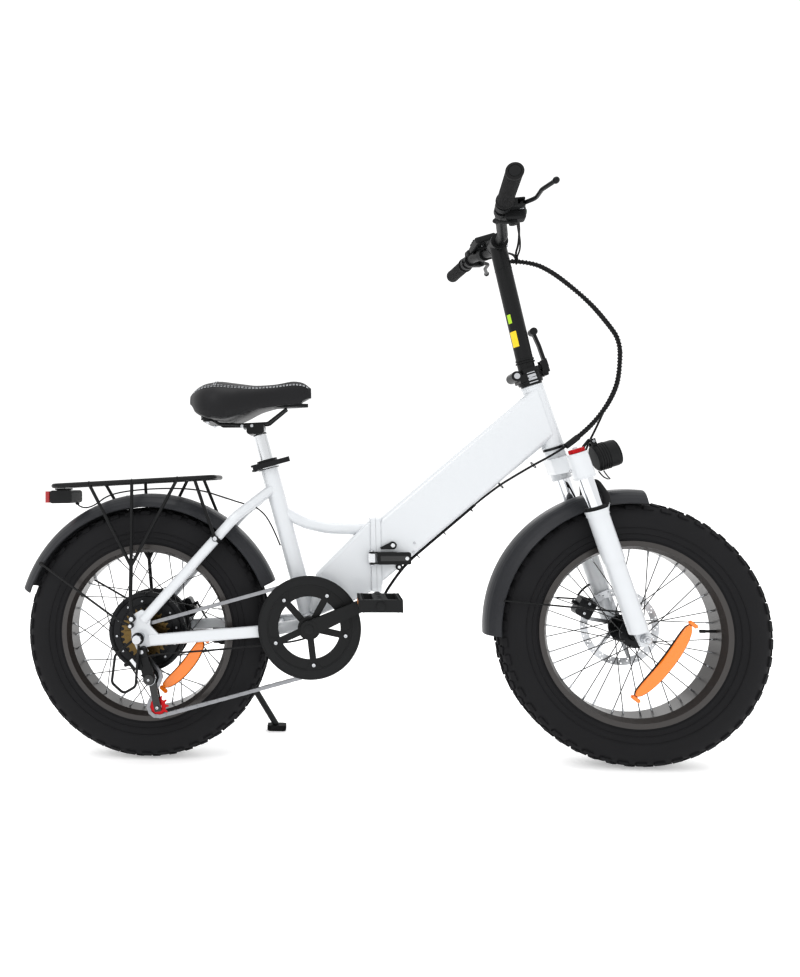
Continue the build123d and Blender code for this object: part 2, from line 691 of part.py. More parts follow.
# ---- rear half of the frame ---------------------------------------------------------------------
def seat_axis(distance):
    """A point on the seat tube's axis, so far above the bottom bracket."""
    dx, dz = SEAT_TOP[0] - BB_X, SEAT_TOP[1] - BB_Z
    length = math.hypot(dx, dz)
    return (BB_X + dx * distance / length, BB_Z + dz * distance / length)


SEAT_LENGTH = math.hypot(SEAT_TOP[0] - BB_X, SEAT_TOP[1] - BB_Z)
REAR_PLATE_X = HINGE_X - HINGE_GAP / 2 - HINGE_PLATE
FRONT_PLATE_X = HINGE_X + HINGE_GAP / 2 + HINGE_PLATE
KNUCKLES_REAR = ((412.0, 440.0), (522.0, 550.0))
KNUCKLE_GAP = 0.4


def point3(pair, y):
    return (pair[0], y, pair[1])


def stay_points(side):
    return [(6, side * 90.5, 338), (225, side * 68, 577), (306, side * 10, 640)]


def chainstay_points(side):
    return [(21, side * 90, 291.5), (296, side * 66, 310), (382, side * 34, 320)]


def rear_dropout(side):
    """The plate that carries the rear axle, with the rack's eyelet behind it."""
    outline = [(-26, 332), (-20, 350), (2, 362), (24, 352), (22, 326), (44, 304), (44, 282), (12, 276)]
    if side < 0:
        outline += [(HANGER[0] + 12, 266), (HANGER[0] + 4, 256), (HANGER[0] - 8, 256)]
    outline += [(-14, 280), (-20, 300)]
    body = plate(outline, DROPOUT_Y, DROPOUT_Y + DROPOUT_T)
    return body if side > 0 else mirrored(body)


def rear_frame():
    top = point3(seat_axis(SEAT_LENGTH), 0)
    solid = rod((BB_X, 0, BB_Z), top, SEAT_TUBE_R)
    # The box beam behind the fold.
    outline = [
        (REAR_PLATE_X + 1, HINGE_Z1 - 4), (410, 437), (392, 352), (408, 334), (500, 373), (REAR_PLATE_X + 1, HINGE_Z0 + 2),
    ]
    beam = plate(outline, -BEAM_WIDTH / 2 + 2, BEAM_WIDTH / 2 - 2)
    long_edges = beam.edges().filter_by(Axis.Y, reverse=True)
    beam = fillet(long_edges.filter_by(lambda e: e.length > 60 and abs((e @ 0.5).X - REAR_PLATE_X) > 5), 8)
    solid += beam
    solid += pipe([(326, 0, 588), (384, 0, 556), (440, 0, 543), (REAR_PLATE_X + 2, 0, 539)], 14, 110)
    solid += disc(BB_X, BB_Z, BB_SHELL_R, -BB_HALF, BB_HALF)
    hinge = block((REAR_PLATE_X, HINGE_X - HINGE_GAP / 2), (-HINGE_HALF, HINGE_HALF), (HINGE_Z0, HINGE_Z1))
    solid += fillet(hinge.edges().filter_by(Axis.X), 9)
    for z0, z1 in KNUCKLES_REAR:
        solid += rod((HINGE_X, PIN_Y, z0), (HINGE_X, PIN_Y, z1), KNUCKLE_R)
        solid += block((REAR_PLATE_X, HINGE_X - 3), (HINGE_HALF - 6, PIN_Y), (z0, z1))
    for side in (1, -1):
        solid += pipe(stay_points(side), 12, 60)
        solid += strip(chainstay_points(side), 16, 27, 6, 50)
        solid += rear_dropout(side)
    # Bridges between the stays, clear of the tyre and the mudguard.
    solid += rod((229, -66, 580), (229, 66, 580), 7)
    solid += rod((321, -58, 312), (321, 58, 312), 7)
    # Tab beside the left dropout that the brake caliper bolts to.
    solid += block((66, 92), (REAR_ROTOR_Y + 18.2, 88), (300, 346))
    # Flat lug under the left chainstay for the kickstand.
    solid += block((146, 186), (72, 86), (278, 292))
    # What is bored and hollowed out of the frame.
    solid -= rod(point3(seat_axis(62), 0), point3(seat_axis(SEAT_LENGTH + 5), 0), POST_R + POST_FIT)
    solid -= disc(BB_X, BB_Z, BB_CUP_R, -BB_HALF - 1, BB_HALF + 1)
    cavity = plate([(REAR_PLATE_X - 4, 545), (430, 446), (424, 362), (500, 388), (REAR_PLATE_X - 4, 404)],
                   -BEAM_WIDTH / 2 + 6, BEAM_WIDTH / 2 - 6)
    solid -= cavity
    solid -= rod((HINGE_X, PIN_Y, HINGE_Z0 - 10), (HINGE_X, PIN_Y, HINGE_Z1 + 10), PIN_R + 0.02)
    solid -= disc(0, WHEEL_R, REAR_AXLE_R + 0.05, -120, 120)
    return solid


def frame_hinge_pin():
    z0, z1 = KNUCKLES_REAR[0][0], KNUCKLES_REAR[1][1]
    pin = rod((HINGE_X, PIN_Y, z0 - 1), (HINGE_X, PIN_Y, z1 + 3), PIN_R)
    head = rod((HINGE_X, PIN_Y, z1 + 0.1), (HINGE_X, PIN_Y, z1 + 4), 8)
    foot = rod((HINGE_X, PIN_Y, z0 - 4), (HINGE_X, PIN_Y, z0 - 0.1), 8)
    return pin + head + foot


LATCH_Z = 474.0
LATCH_AT = (541.5, -37.0)  # the frame latch's upright pivot, x and y


def latch_keeper():
    """The silver block on the rear hinge plate that the latch lever pivots on."""
    body = bar_section(block((533, 550), (-43, -HINGE_HALF - 0.1), (LATCH_Z - 11, LATCH_Z + 11)), 1.5)
    x, y = LATCH_AT
    return body - rod((x, y, LATCH_Z - 12), (x, y, LATCH_Z + 12), 3.0)


def motor_controller():
    return bar_section(block((440, 520), (-21.7, 21.7), (405, 440)), 3)


def bottom_bracket_cups():
    cup_l = disc(BB_X, BB_Z, BB_CUP_R - 0.02, 22, BB_HALF + 0.4, SPINDLE_R + BEARING_FIT)
    cup_r = disc(BB_X, BB_Z, BB_CUP_R - 0.02, -BB_HALF - 0.4, -22, SPINDLE_R + BEARING_FIT)
    return [cup_l, cup_r]


def crank_spindle():
    return disc(BB_X, BB_Z, SPINDLE_R - 0.01, -86, 86)


def rear_axle():
    y = DROPOUT_Y + DROPOUT_T
    shaft = disc(0, WHEEL_R, REAR_AXLE_R, -y - 30, y + 20)
    solid = shaft + disc(0, WHEEL_R, 13, y + 0.1, y + 12)
    solid += disc(0, WHEEL_R, 10, -y - 26 - 12, -y - 25.6)
    solid += disc(0, WHEEL_R, 10, -y - 22.4, -y - 0.1)
    # Spacers between the dropouts and the hub's bearings.
    solid += disc(0, WHEEL_R, 11, MOTOR_Y0 - 44 - 7.3, MOTOR_Y0 - 44 - 0.3)
    solid += disc(0, WHEEL_R, 11, REAR_ROTOR_Y + 6.3, DROPOUT_Y - 0.1)
    return solid


def caliper(cx, angle, y):
    """A brake caliper that straddles the disc."""
    x, z = polar(cx, WHEEL_R, ROTOR_R - 6, angle)
    body = Pos(0, 0, 0) * Box(46, 34, 38)
    body = fillet(body.edges().filter_by(Axis.Y), 8)
    slot = Box(60, ROTOR_T + 5, 60)
    body -= Pos(0, 0, -14) * slot
    turn = Rot(0, -(angle - 90), 0)
    return Pos(x, y + ROTOR_T / 2, z) * (turn * (Pos(0, 0, 8) * body))


def rear_caliper():
    return caliper(0.0, 27.0, REAR_ROTOR_Y)


def arched(radius):
    """The mudguard's cross-section: a shallow arch, thin all over."""
    outer = [(radius - FENDER_SKIRT * (abs(t) ** 2.6), FENDER_HALF * t) for t in [i / 7 for i in range(-7, 8)]]
    inner = [(r - FENDER_THICK, y * (1 - FENDER_THICK / FENDER_HALF)) for r, y in reversed(outer)]
    return Plane.XY * Polygon(*(outer + inner), align=None)


def mudguard(cx, radius, start, end):
    """Sweeps the arch about an axle from one angle to another, both above straight forward."""
    # A turn about +Y carries +X towards -Z, so angles above forward are turned the other way.
    solid = revolve(arched(radius), Axis.Y, revolution_arc=end - start)
    return Pos(cx, 0, WHEEL_R) * (Rot(0, -end, 0) * solid)


REAR_GUARD = (21.0, 161.5)
FRONT_GUARD = (83.0, 181.0)


def rear_fender():
    solid = mudguard(0.0, FENDER_R, *REAR_GUARD)
    pieces = [solid]
    for side in (1, -1):
        p = polar(0, WHEEL_R, FENDER_R - FENDER_SKIRT + 4, 147)
        start = (p[0], side * (FENDER_HALF + 2.4), p[1])
        stay = pipe([start, (-60, side * 99, 344), (-24, side * 100, 327)], 2.5, 20)
        pieces.append(stay + disc(-22, 326, 6.5, min(side * 93.7, side * 104), max(side * 93.7, side * 104)))
    # The bolt that hangs the guard from the stays' bridge.
    hang = polar(0, WHEEL_R, FENDER_R + 0.1, math.degrees(math.atan2(580 - WHEEL_R, 229)))
    foot = (229 - 4.6, 580 - 5.4)
    pieces.append(rod((hang[0], 0, hang[1]), (foot[0], 0, foot[1]), 5))
    return pieces


RACK_Y = 65.0


def rack_height(x):
    """The rack's rails climb slightly towards the front."""
    return 655.0 + (x + 230.0) * 15.0 / 400.0


def rack():
    rail = [
        (-228, 0, rack_height(-228)), (-228, RACK_Y, rack_height(-228)), (172, RACK_Y, rack_height(172)),
        (172, 0, rack_height(172)),
    ]
    solid = pipe(rail, 5.5, 22)
    solid += mirrored(solid)
    for x in (-133, -27, 84):
        z = rack_height(x)
        solid += rod((x, -RACK_Y, z), (x, RACK_Y, z), 4)
    for y in (-22, 22):
        solid += rod((-228, y, rack_height(-228)), (172, y, rack_height(172)), 4)
    for side in (1, -1):
        joint = (-24, side * 86, 463)
        eye = (-19, side * 99.5, 342)
        for x in (-133, -27, 84):
            solid += rod((x, side * RACK_Y, rack_height(x)), joint, 4)
        solid += pipe([(-27, side * 83, 480), joint, (-22, side * 99.5, 392), eye], 4.5, 12)
        solid += disc(eye[0], eye[2], 8, min(side * 94.1, side * 103), max(side * 94.1, side * 103))
        solid += pipe([(125, side * RACK_Y, rack_height(125)), (150, side * 78, 600), (178, side * 89.5, 526)], 4, 20)
        # A clip bolted to the side of the seat stay.
        solid += disc(178, 526, 7, min(side * 85.4, side * 93), max(side * 85.4, side * 93))
    return solid


TAIL_X0, TAIL_X1 = -256.0, -186.0


def tail_light():
    z = 628.0
    body = block((TAIL_X0 + 14, TAIL_X1), (-38, 38), (z - 16, z + 16))
    body = fillet(body.edges().filter_by(Axis.Y), 7)
    for side in (1, -1):
        strap = block((-234, -206), (side * 12 - 2, side * 12 + 2), (z + 15, rack_height(-220) - 6.4))
        body += strap
    body += block((-234, -206), (-24, 24), (rack_height(-220) - 10, rack_height(-220) - 6.3))
    return body


def tail_light_lens():
    z = 628.0
    lens = block((TAIL_X0, TAIL_X0 + 13.9), (-36, 36), (z - 14, z + 14))
    return fillet(lens.edges().filter_by(Axis.Z), 6)


KICK_PIVOT = (166.0, 94.0, 262.0)
KICK_FOOT = (292.0, 188.0)
KICK_AXIS = (0.0, 0.972, 0.235)
KICK_R = 8.0


def kickstand_bracket():
    """The clamp under the chainstay's lug, with the pivot pin that the leg hangs on."""
    body = block((144, 188), (68, 81.3), (252, 277.9))
    body = fillet(body.edges().filter_by(Axis.Y), 5)
    a = Vector(*KICK_AXIS).normalized()
    p = Vector(*KICK_PIVOT)
    start = p - a * 14
    pin = rod(tuple(start), tuple(p + a * 13), 4.5)
    collar = rod(tuple(p - a * 16), tuple(p - a * 9.2), 13)
    return body + pin + collar


def kickstand_leg():
    a = Vector(*KICK_AXIS).normalized()
    p = Vector(*KICK_PIVOT)
    boss = rod(tuple(p - a * 8.8), tuple(p + a * 12), 14)
    foot_x, foot_y = KICK_FOOT
    end = Vector(foot_x, foot_y, 14)
    leg = rod(tuple(p + a * 2), tuple(end), KICK_R)
    foot = fillet(block((foot_x - 22, foot_x + 26), (foot_y - 13, foot_y + 15), (0, 14)).edges().filter_by(Axis.Z), 10)
    solid = boss + leg + foot
    return solid - rod(tuple(p - a * 10), tuple(p + a * 14), 4.5 + BEARING_FIT)


# ---- seat ---------------------------------------------------------------------------------------
SEAT_DIR = ((SEAT_TOP[0] - BB_X) / SEAT_LENGTH, (SEAT_TOP[1] - BB_Z) / SEAT_LENGTH)
CLAMP_DROP = 20.0
CLAMP_BOLT = SEAT_TUBE_R + 11
SADDLE_X0, SADDLE_X1 = 112.0, 406.0
SADDLE_HALF = 112.0
SADDLE_Z = 858.0           # height of the join between saddle shell and cover at the nose
POST_TOP = seat_axis(SEAT_LENGTH + 88)


def seat_clamp():
    low = point3(seat_axis(SEAT_LENGTH - CLAMP_DROP), 0)
    high = point3(seat_axis(SEAT_LENGTH + 2), 0)
    collar = rod(low, high, SEAT_TUBE_R + 4.5, SEAT_TUBE_R + 0.1)
    lip = rod(point3(seat_axis(SEAT_LENGTH + 0.1), 0), point3(seat_axis(SEAT_LENGTH + 3), 0), SEAT_TUBE_R + 4.5,
              POST_R + 0.4)
    lug_a = SEAT_EARS * (Pos(SEAT_TUBE_R + 9, 7, 0) * Box(16, 8, 16))
    lug_b = SEAT_EARS * (Pos(SEAT_TUBE_R + 9, -7, 0) * Box(16, 8, 16))
    bolt = SEAT_EARS * (Pos(CLAMP_BOLT, 1.5, 0) * (Rot(90, 0, 0) * Cylinder(3, 37)))
    bolt += SEAT_EARS * (Pos(CLAMP_BOLT, -14, 0) * (Rot(90, 0, 0) * Cylinder(6, 6)))
    bolt += SEAT_EARS * (Pos(CLAMP_BOLT, 20, 0) * Cylinder(3, 17))
    return collar + lip + lug_a + lug_b + bolt


SEAT_EARS = Plane(origin=point3(seat_axis(SEAT_LENGTH - CLAMP_DROP / 2), 0),
                  x_dir=(-SEAT_DIR[1], 0, SEAT_DIR[0]), z_dir=(SEAT_DIR[0], 0, SEAT_DIR[1]))


def seat_clamp_lever():
    """The quick-release lever, which swings outwards on the pin at the end of the clamp's bolt."""
    hub = Cylinder(8.5, 16) - Cylinder(20, 6.8)
    blade = fillet(Box(92, 7, 12).edges().filter_by(Axis.Z), 3)
    body = Pos(CLAMP_BOLT, 20, 0) * hub + Pos(CLAMP_BOLT - 42, 29.5, 0) * blade
    return SEAT_EARS * (body - Pos(CLAMP_BOLT, 20, 0) * Cylinder(3 + BEARING_FIT, 20))


def seatpost():
    low = point3(seat_axis(SEAT_LENGTH - 255), 0)
    top = point3(POST_TOP, 0)
    return rod(low, top, POST_R, POST_R - 2.2)


def saddle_clamp():
    """The clamp on the post and the two steel rails it holds."""
    x, z = POST_TOP
    clamp = block((x - 25, x + 17), (-30, 30), (z - 20, z + 6))
    clamp = fillet(clamp.edges().filter_by(Axis.Y), 7)
    clamp -= rod(point3(seat_axis(SEAT_LENGTH + 40), 0), point3(POST_TOP, 0), POST_R + 0.02)
    rails = []
    for side in (1, -1):
        rail = pipe([(150, side * 52, 822), (182, side * 34, 799), (232, side * 22, 797), (300, side * 22, 799),
                     (346, side * 14, 834.5)], 3.5, 12)
        rails.append(rail)
    for rail in rails:
        clamp -= pipe_clear(rail)
    return [clamp] + rails


def pipe_clear(rail):
    """The rails' grooves in the clamp are cut where the rails run straight."""
    box = rail.bounding_box()
    side = 1 if box.center().Y > 0 else -1
    return rod((200, side * 22, 796.1), (330, side * 22, 799.9), 3.6)


def saddle_outline(grow):
    """Half-widths along the saddle from its tail to its nose."""
    table = [(0.0, 0.40), (0.04, 0.72), (0.14, 0.96), (0.26, 1.0), (0.38, 0.86), (0.5, 0.55), (0.62, 0.33), (0.76, 0.24),
             (0.9, 0.21), (0.97, 0.15), (1.0, 0.04)]
    length = SADDLE_X1 - SADDLE_X0 - 2 * grow
    return [(SADDLE_X0 + grow + length * u, max(4.0, SADDLE_HALF * w - grow)) for u, w in table]


def saddle_solid(z0, z1, grow):
    pts = saddle_outline(grow)
    outline = [(x, w) for x, w in pts] + [(x, -w) for x, w in reversed(pts)]
    return lift(Plane.XY.offset(z0), Polygon(*outline, align=None), z1 - z0)


def saddle_base():
    """The moulded shell under the padding."""
    return saddle_solid(838, 846, 8)


def saddle_cover():
    """The padded cover, drawn plain: a domed block of the saddle's size."""
    body = saddle_solid(846.3, 900, 0)
    # The wings hang lower than the nose and the top falls away to the sides.
    slope = plate([(SADDLE_X0 - 5, 884), (190, 904), (270, 893), (366, 904), (412, 880), (412, 830), (SADDLE_X0 - 5, 830)],
                  -130, 130)
    return body & slope


def saddle_springs():
    """The two coil springs at the back, drawn as their outer shape."""
    return [rod((158, side * 56, 808), (158, side * 56, 837.9), 15) for side in (1, -1)]


def saddle_bridge():
    """Tie plate that carries the springs on the rails."""
    bar = block((148, 170), (-72, 72), (803, 807.9))
    return fillet(bar.edges().filter_by(Axis.Z), 8)


# ---- front half of the frame --------------------------------------------------------------------
def beam_bar(width, depth, corner, start, end):
    """A length of the main beam, measured along it from the fold."""
    d = (math.cos(BEAM_SLOPE), math.sin(BEAM_SLOPE))
    origin = (BEAM_AT[0] + d[0] * start, 0, BEAM_AT[1] + d[1] * start)
    plane = Plane(origin=origin, x_dir=(0, 1, 0), z_dir=(d[0], 0, d[1]))
    return extrude(plane * RectangleRounded(width, depth, corner), end - start)


def front_frame():
    body = beam_bar(BEAM_WIDTH, BEAM_DEPTH, BEAM_CORNER, -330, 330)
    body &= block((FRONT_PLATE_X - 2, 1100), (-60, 60), (300, 1000))
    body &= in_steer(block((-600, 0), (-60, 60), (-400, 400)))
    cavity = beam_bar(BEAM_WIDTH - 2 * BEAM_WALL, BEAM_DEPTH - 2 * BEAM_WALL, BEAM_CORNER - BEAM_WALL, -330, 190)
    cavity &= block((HINGE_X, 1100), (-60, 60), (HINGE_Z0 + 12, 1000))
    hinge = block((HINGE_X + HINGE_GAP / 2, FRONT_PLATE_X), (-HINGE_HALF, HINGE_HALF), (HINGE_Z0, HINGE_Z1))
    body += fillet(hinge.edges().filter_by(Axis.X), 9)
    # The hinge plate's window, through which the battery slides out.
    window = block((HINGE_X - 5, FRONT_PLATE_X + 5), (-22, 22), (HINGE_Z0 + 22, HINGE_Z1 - 18))
    z0, z1 = KNUCKLES_REAR[0][1] + KNUCKLE_GAP, KNUCKLES_REAR[1][0] - KNUCKLE_GAP
    body += rod((HINGE_X, PIN_Y, z0), (HINGE_X, PIN_Y, z1), KNUCKLE_R)
    body += block((HINGE_X + 3, FRONT_PLATE_X), (HINGE_HALF - 6, PIN_Y), (z0, z1))
    body -= cavity
    body -= window
    body += in_steer(Cylinder(HEAD_R, HEAD_LENGTH, align=(Align.CENTER, Align.CENTER, Align.MIN)))
    body -= in_steer(Pos(0, 0, -5) * Cylinder(21, HEAD_LENGTH + 10, align=(Align.CENTER, Align.CENTER, Align.MIN)))
    body -= rod((HINGE_X, PIN_Y, HINGE_Z0), (HINGE_X, PIN_Y, HINGE_Z1), PIN_R + BEARING_FIT)
    # The block that the latch grips and the boss of the safety catch, on the right side.
    body += block((555, 566), (-42, -BEAM_WIDTH / 2 + 2), (LATCH_Z - 10.9, LATCH_Z + 10.9))
    body += rod((CATCH_AT[0], -BEAM_WIDTH / 2 + 2, CATCH_AT[1]), (CATCH_AT[0], CATCH_Y0, CATCH_AT[1]), 3.0)
    return body


CATCH_AT = (591.0, 503.0)
CATCH_Y0 = -38.0


def battery_pack():
    """The battery inside the beam."""
    body = beam_bar(49.4, 88, 5, -175, 165)
    body &= block((FRONT_PLATE_X + 4, 1100), (-60, 60), (HINGE_Z0 + 24, 1000))
    return body


def headset():
    """Upper and lower bearing cups in the head tube."""
    low = Pos(0, 0, -6) * Cylinder(HEAD_R - 0.5, 5.9, align=(Align.CENTER, Align.CENTER, Align.MIN))
    low += Pos(0, 0, -0.2) * Cylinder(20.98, 14, align=(Align.CENTER, Align.CENTER, Align.MIN))
    low -= Pos(0, 0, -8) * Cylinder(STEERER_R + BEARING_FIT, 30, align=(Align.CENTER, Align.CENTER, Align.MIN))
    top = Pos(0, 0, HEAD_LENGTH + 0.1) * Cylinder(HEAD_R - 0.5, 5, align=(Align.CENTER, Align.CENTER, Align.MIN))
    top += Pos(0, 0, HEAD_LENGTH - 14) * Cylinder(20.98, 14.2, align=(Align.CENTER, Align.CENTER, Align.MIN))
    top -= Pos(0, 0, HEAD_LENGTH - 20) * Cylinder(STEERER_R + BEARING_FIT, 40,
                                                 align=(Align.CENTER, Align.CENTER, Align.MIN))
    return [in_steer(low), in_steer(top)]


def frame_latch_lever():
    """The latch: two cheeks above and below the pivot block and the keeper, joined by the handle."""
    x, y = LATCH_AT
    handle = block((553.5, 631), (-52, -44), (LATCH_Z - 14, LATCH_Z + 14))
    body = fillet(handle.edges().filter_by(Axis.Y), 4)
    for z in (LATCH_Z - 14, LATCH_Z + 11.4):
        body += rod((x, y, z), (x, y, z + 2.6), 6.0)
        body += block((x, 600), (y - 6, y + 4), (z, z + 2.6))
        body += block((554, 600), (-46, y), (z, z + 2.6))
    return body + rod((x, y, LATCH_Z - 15), (x, y, LATCH_Z + 15), 3.0 - BEARING_FIT)


def safety_catch():
    """A teardrop tab that drops over the closed latch."""
    x, z = CATCH_AT
    y1 = -HINGE_HALF - 1.0
    tab = disc(x, z, 9, CATCH_Y0 - 1.0, y1)
    tab += plate([(x - 2, z + 8.6), (x - 30, z - 5), (x - 27, z - 8.6), (x, z - 9)], CATCH_Y0 - 1.0, y1)
    return tab - disc(x, z, 3.0 + BEARING_FIT, CATCH_Y0 - 3, y1 + 3)


# ---- fork and front end, drawn in the steering frame --------------------------------------------
def post(r, height, bore=0.0, low=True):
    align = (Align.CENTER, Align.CENTER, Align.MIN if low else Align.CENTER)
    solid = Cylinder(r, height, align=align)
    return solid - Cylinder(bore, height, align=align) if bore else solid


def fork_crown():
    steerer = Pos(0, 0, -40) * post(STEERER_R, STEM_PLANE + 30)
    race = Pos(0, 0, -25) * post(23, 18.8)
    left = [(-24, 30), (LEG_FORWARD - 18, LEG_Y + 4), (LEG_FORWARD + 18, LEG_Y + 4), (36, 40)]
    right = [(a, -b) for a, b in reversed(left)]
    crown = lift(Plane.XY.offset(-62), Polygon(*(left + right), align=None), 36.9)
    crown = fillet(crown.edges().filter_by(Axis.Z), 8)
    solid = steerer + race + crown
    for side in (1, -1):
        socket = Pos(LEG_FORWARD, side * LEG_Y, CROWN_LOW) * post(LEG_R, CROWN_TOP - CROWN_LOW)
        solid += socket
        solid -= Pos(LEG_FORWARD, side * LEG_Y, CROWN_LOW - 1) * post(STANCHION_R + 0.02, CROWN_TOP - CROWN_LOW - 5)
    cap = Pos(LEG_FORWARD, LEG_Y, CROWN_TOP - 0.1) * post(15, 6)
    spigot = Pos(LEG_FORWARD, -LEG_Y, CROWN_TOP - 0.1) * post(5, 14)
    return in_steer(solid + cap + spigot)


def stanchions():
    found = []
    for side in (1, -1):
        length = CROWN_TOP - 6.2 - (SEAL_TOP - 120)
        tube = Pos(LEG_FORWARD, side * LEG_Y, SEAL_TOP - 120) * post(STANCHION_R, length, STANCHION_R - 2.5)
        found.append(in_steer(tube))
    return found


def lockout_knob():
    knob = Pos(LEG_FORWARD, -LEG_Y, CROWN_TOP + 0.3) * post(15, 9)
    knob -= Pos(LEG_FORWARD, -LEG_Y, CROWN_TOP) * post(5 + BEARING_FIT, 14)
    knob += Pos(LEG_FORWARD + 13, -LEG_Y, CROWN_TOP + 4.8) * Box(12, 7, 9)
    return in_steer(knob)


AXLE_LOCAL = STEER.to_local_coords(Vector(FRONT_X, 0, WHEEL_R))


def fork_lowers():
    """Both lower legs with the brace over the mudguard and the dropouts."""
    solid = None
    low = AXLE_LOCAL.Z + 16
    for side in (1, -1):
        leg = Pos(LEG_FORWARD, side * LEG_Y, low) * post(LEG_R - 2, LEG_TOP - low)
        leg += Pos(LEG_FORWARD, side * LEG_Y, LEG_TOP - 120) * post(LEG_R, 120)
        leg += Pos(LEG_FORWARD, side * LEG_Y, LEG_TOP - 14) * post(LEG_R + 1.5, 14)
        leg += plate([
            (LEG_FORWARD - 14, low + 26), (LEG_FORWARD + 16, low + 26), (AXLE_LOCAL.X + 17, AXLE_LOCAL.Z),
            (AXLE_LOCAL.X + 8, AXLE_LOCAL.Z - 18), (AXLE_LOCAL.X - 12, AXLE_LOCAL.Z - 16),
        ], side * LEG_Y - 6, side * LEG_Y + 6)
        solid = leg if solid is None else solid + leg
    a, h = LEG_FORWARD + 33, LEG_TOP + 52
    arch = FilletPolyline((LEG_FORWARD + 12, -LEG_Y + 2, LEG_TOP - 20), (a, -LEG_Y + 6, LEG_TOP + 18),
                          (a, -42, h), (a, 42, h), (a, LEG_Y - 6, LEG_TOP + 18),
                          (LEG_FORWARD + 12, LEG_Y - 2, LEG_TOP - 20), radius=22)
    start = Plane(origin=arch @ 0, z_dir=arch % 0)
    solid += sweep(start * Circle(8.5), path=arch)
    for side in (1, -1):
        solid -= Pos(LEG_FORWARD, side * LEG_Y, SEAL_TOP - 125 - FORK_TRAVEL - 10) * post(STANCHION_R + 0.06, 400)
    # The tab behind the left leg that the brake caliper bolts to.
    solid = in_steer(solid) + block((1077.3, 1100), (66, 78), (350, 364))
    return solid - disc(FRONT_X, WHEEL_R, FRONT_AXLE_R + 0.05, -130, 130)


def dust_seals():
    found = []
    for side in (1, -1):
        seal = Pos(LEG_FORWARD, side * LEG_Y, LEG_TOP + 0.1) * post(LEG_R - 1, SEAL_TOP - LEG_TOP)
        seal -= Pos(LEG_FORWARD, side * LEG_Y, LEG_TOP - 5) * post(STANCHION_R + 0.06, 20)
        found.append(in_steer(seal))
    return found


def front_axle():
    y = LEG_Y + 6
    solid = disc(FRONT_X, WHEEL_R, FRONT_AXLE_R, -y - 16, y + 16)
    for side in (1, -1):
        solid += disc(FRONT_X, WHEEL_R, 10, min(side * (y + 0.1), side * (y + 11)), max(side * (y + 0.1), side * (y + 11)))
    # Spacers between the dropouts and the hub's bearings.
    solid += disc(FRONT_X, WHEEL_R, 9, -LEG_Y + 6.1, -44.3)
    solid += disc(FRONT_X, WHEEL_R, 9, FRONT_ROTOR_Y + 3.3, LEG_Y - 6.1)
    return solid


def front_caliper():
    angle = 150.0
    body = caliper(FRONT_X, angle, FRONT_ROTOR_Y)
    x, z = polar(FRONT_X, WHEEL_R, ROTOR_R + 4, angle - 4)
    ear = block((x + 2, x + 30), (FRONT_ROTOR_Y + 16.8, FRONT_ROTOR_Y + 26), (z - 2, z + 12))
    return body + ear


def front_fender():
    pieces = [mudguard(FRONT_X, FRONT_FENDER_R, *FRONT_GUARD)]
    for side in (1, -1):
        p = polar(FRONT_X, WHEEL_R, FRONT_FENDER_R - FENDER_SKIRT + 4, 165)
        leg = steer_point(LEG_FORWARD - 23.6, side * (LEG_Y + 5), -385)
        pieces.append(rod((p[0], side * (FENDER_HALF + 2.4), p[1]), leg, 2.0))
    # The bracket that ties the guard to the brace.
    top = steer_point(LEG_FORWARD + 33, 0, LEG_TOP + 52 - 9.3)
    base = polar(FRONT_X, WHEEL_R, FRONT_FENDER_R + 0.1,
                 math.degrees(math.atan2(top[2] - WHEEL_R, top[0] - FRONT_X)))
    pieces.append(rod((base[0], 0, base[1]), top, 6))
    return pieces


LAMP_AT = (106.0, -54.0)   # the headlight's middle, forward and up in the steering frame
LAMP_R = 31.0


def headlight_bracket():
    """A bent wire from the crown to the lamp's hinge."""
    a, h = LAMP_AT
    wire = pipe([(34, 0, -42), (58, 0, -44), (66, 0, -20), (a - 22, 0, -8)], 3.5, 8)
    eye = Pos(a - 18, 0, h + LAMP_R + 9) * (Rot(90, 0, 0) * Cylinder(6, 12))
    foot = Pos(36.2, 0, -42) * (Rot(0, 90, 0) * Cylinder(7, 5))
    pin = Pos(a - 18, 0, h + LAMP_R + 9) * (Rot(90, 0, 0) * Cylinder(2.5, 26))
    return in_steer(foot + wire + eye + pin)


def headlight_body():
    """A round lamp housing that tilts on the bracket's pin."""
    a, h = LAMP_AT
    drum = Pos(a, 0, h) * (Rot(0, 90, 0) * Cylinder(LAMP_R, 52))
    drum = fillet(drum.edges(), 5)
    hollow = Pos(a + 14, 0, h) * (Rot(0, 90, 0) * Cylinder(LAMP_R - 4, 30))
    drum -= hollow
    for side in (1, -1):
        ear = Pos(a - 18, side * 9, h + LAMP_R + 4) * Box(12, 4, 22)
        ear -= Pos(a - 18, side * 9, h + LAMP_R + 9) * (Rot(90, 0, 0) * Cylinder(2.5 + BEARING_FIT, 10))
        drum += ear
    return in_steer(drum)


def headlight_lens():
    a, h = LAMP_AT
    return in_steer(Pos(a + 20, 0, h) * (Rot(0, 90, 0) * Cylinder(LAMP_R - 4.1, 8)))


# ---- folding stem and handlebar -----------------------------------------------------------------
LEVER_A, LEVER_H = 36.5, STEM_PLANE - 11.0   # pivot of the stem's latch in the steering frame


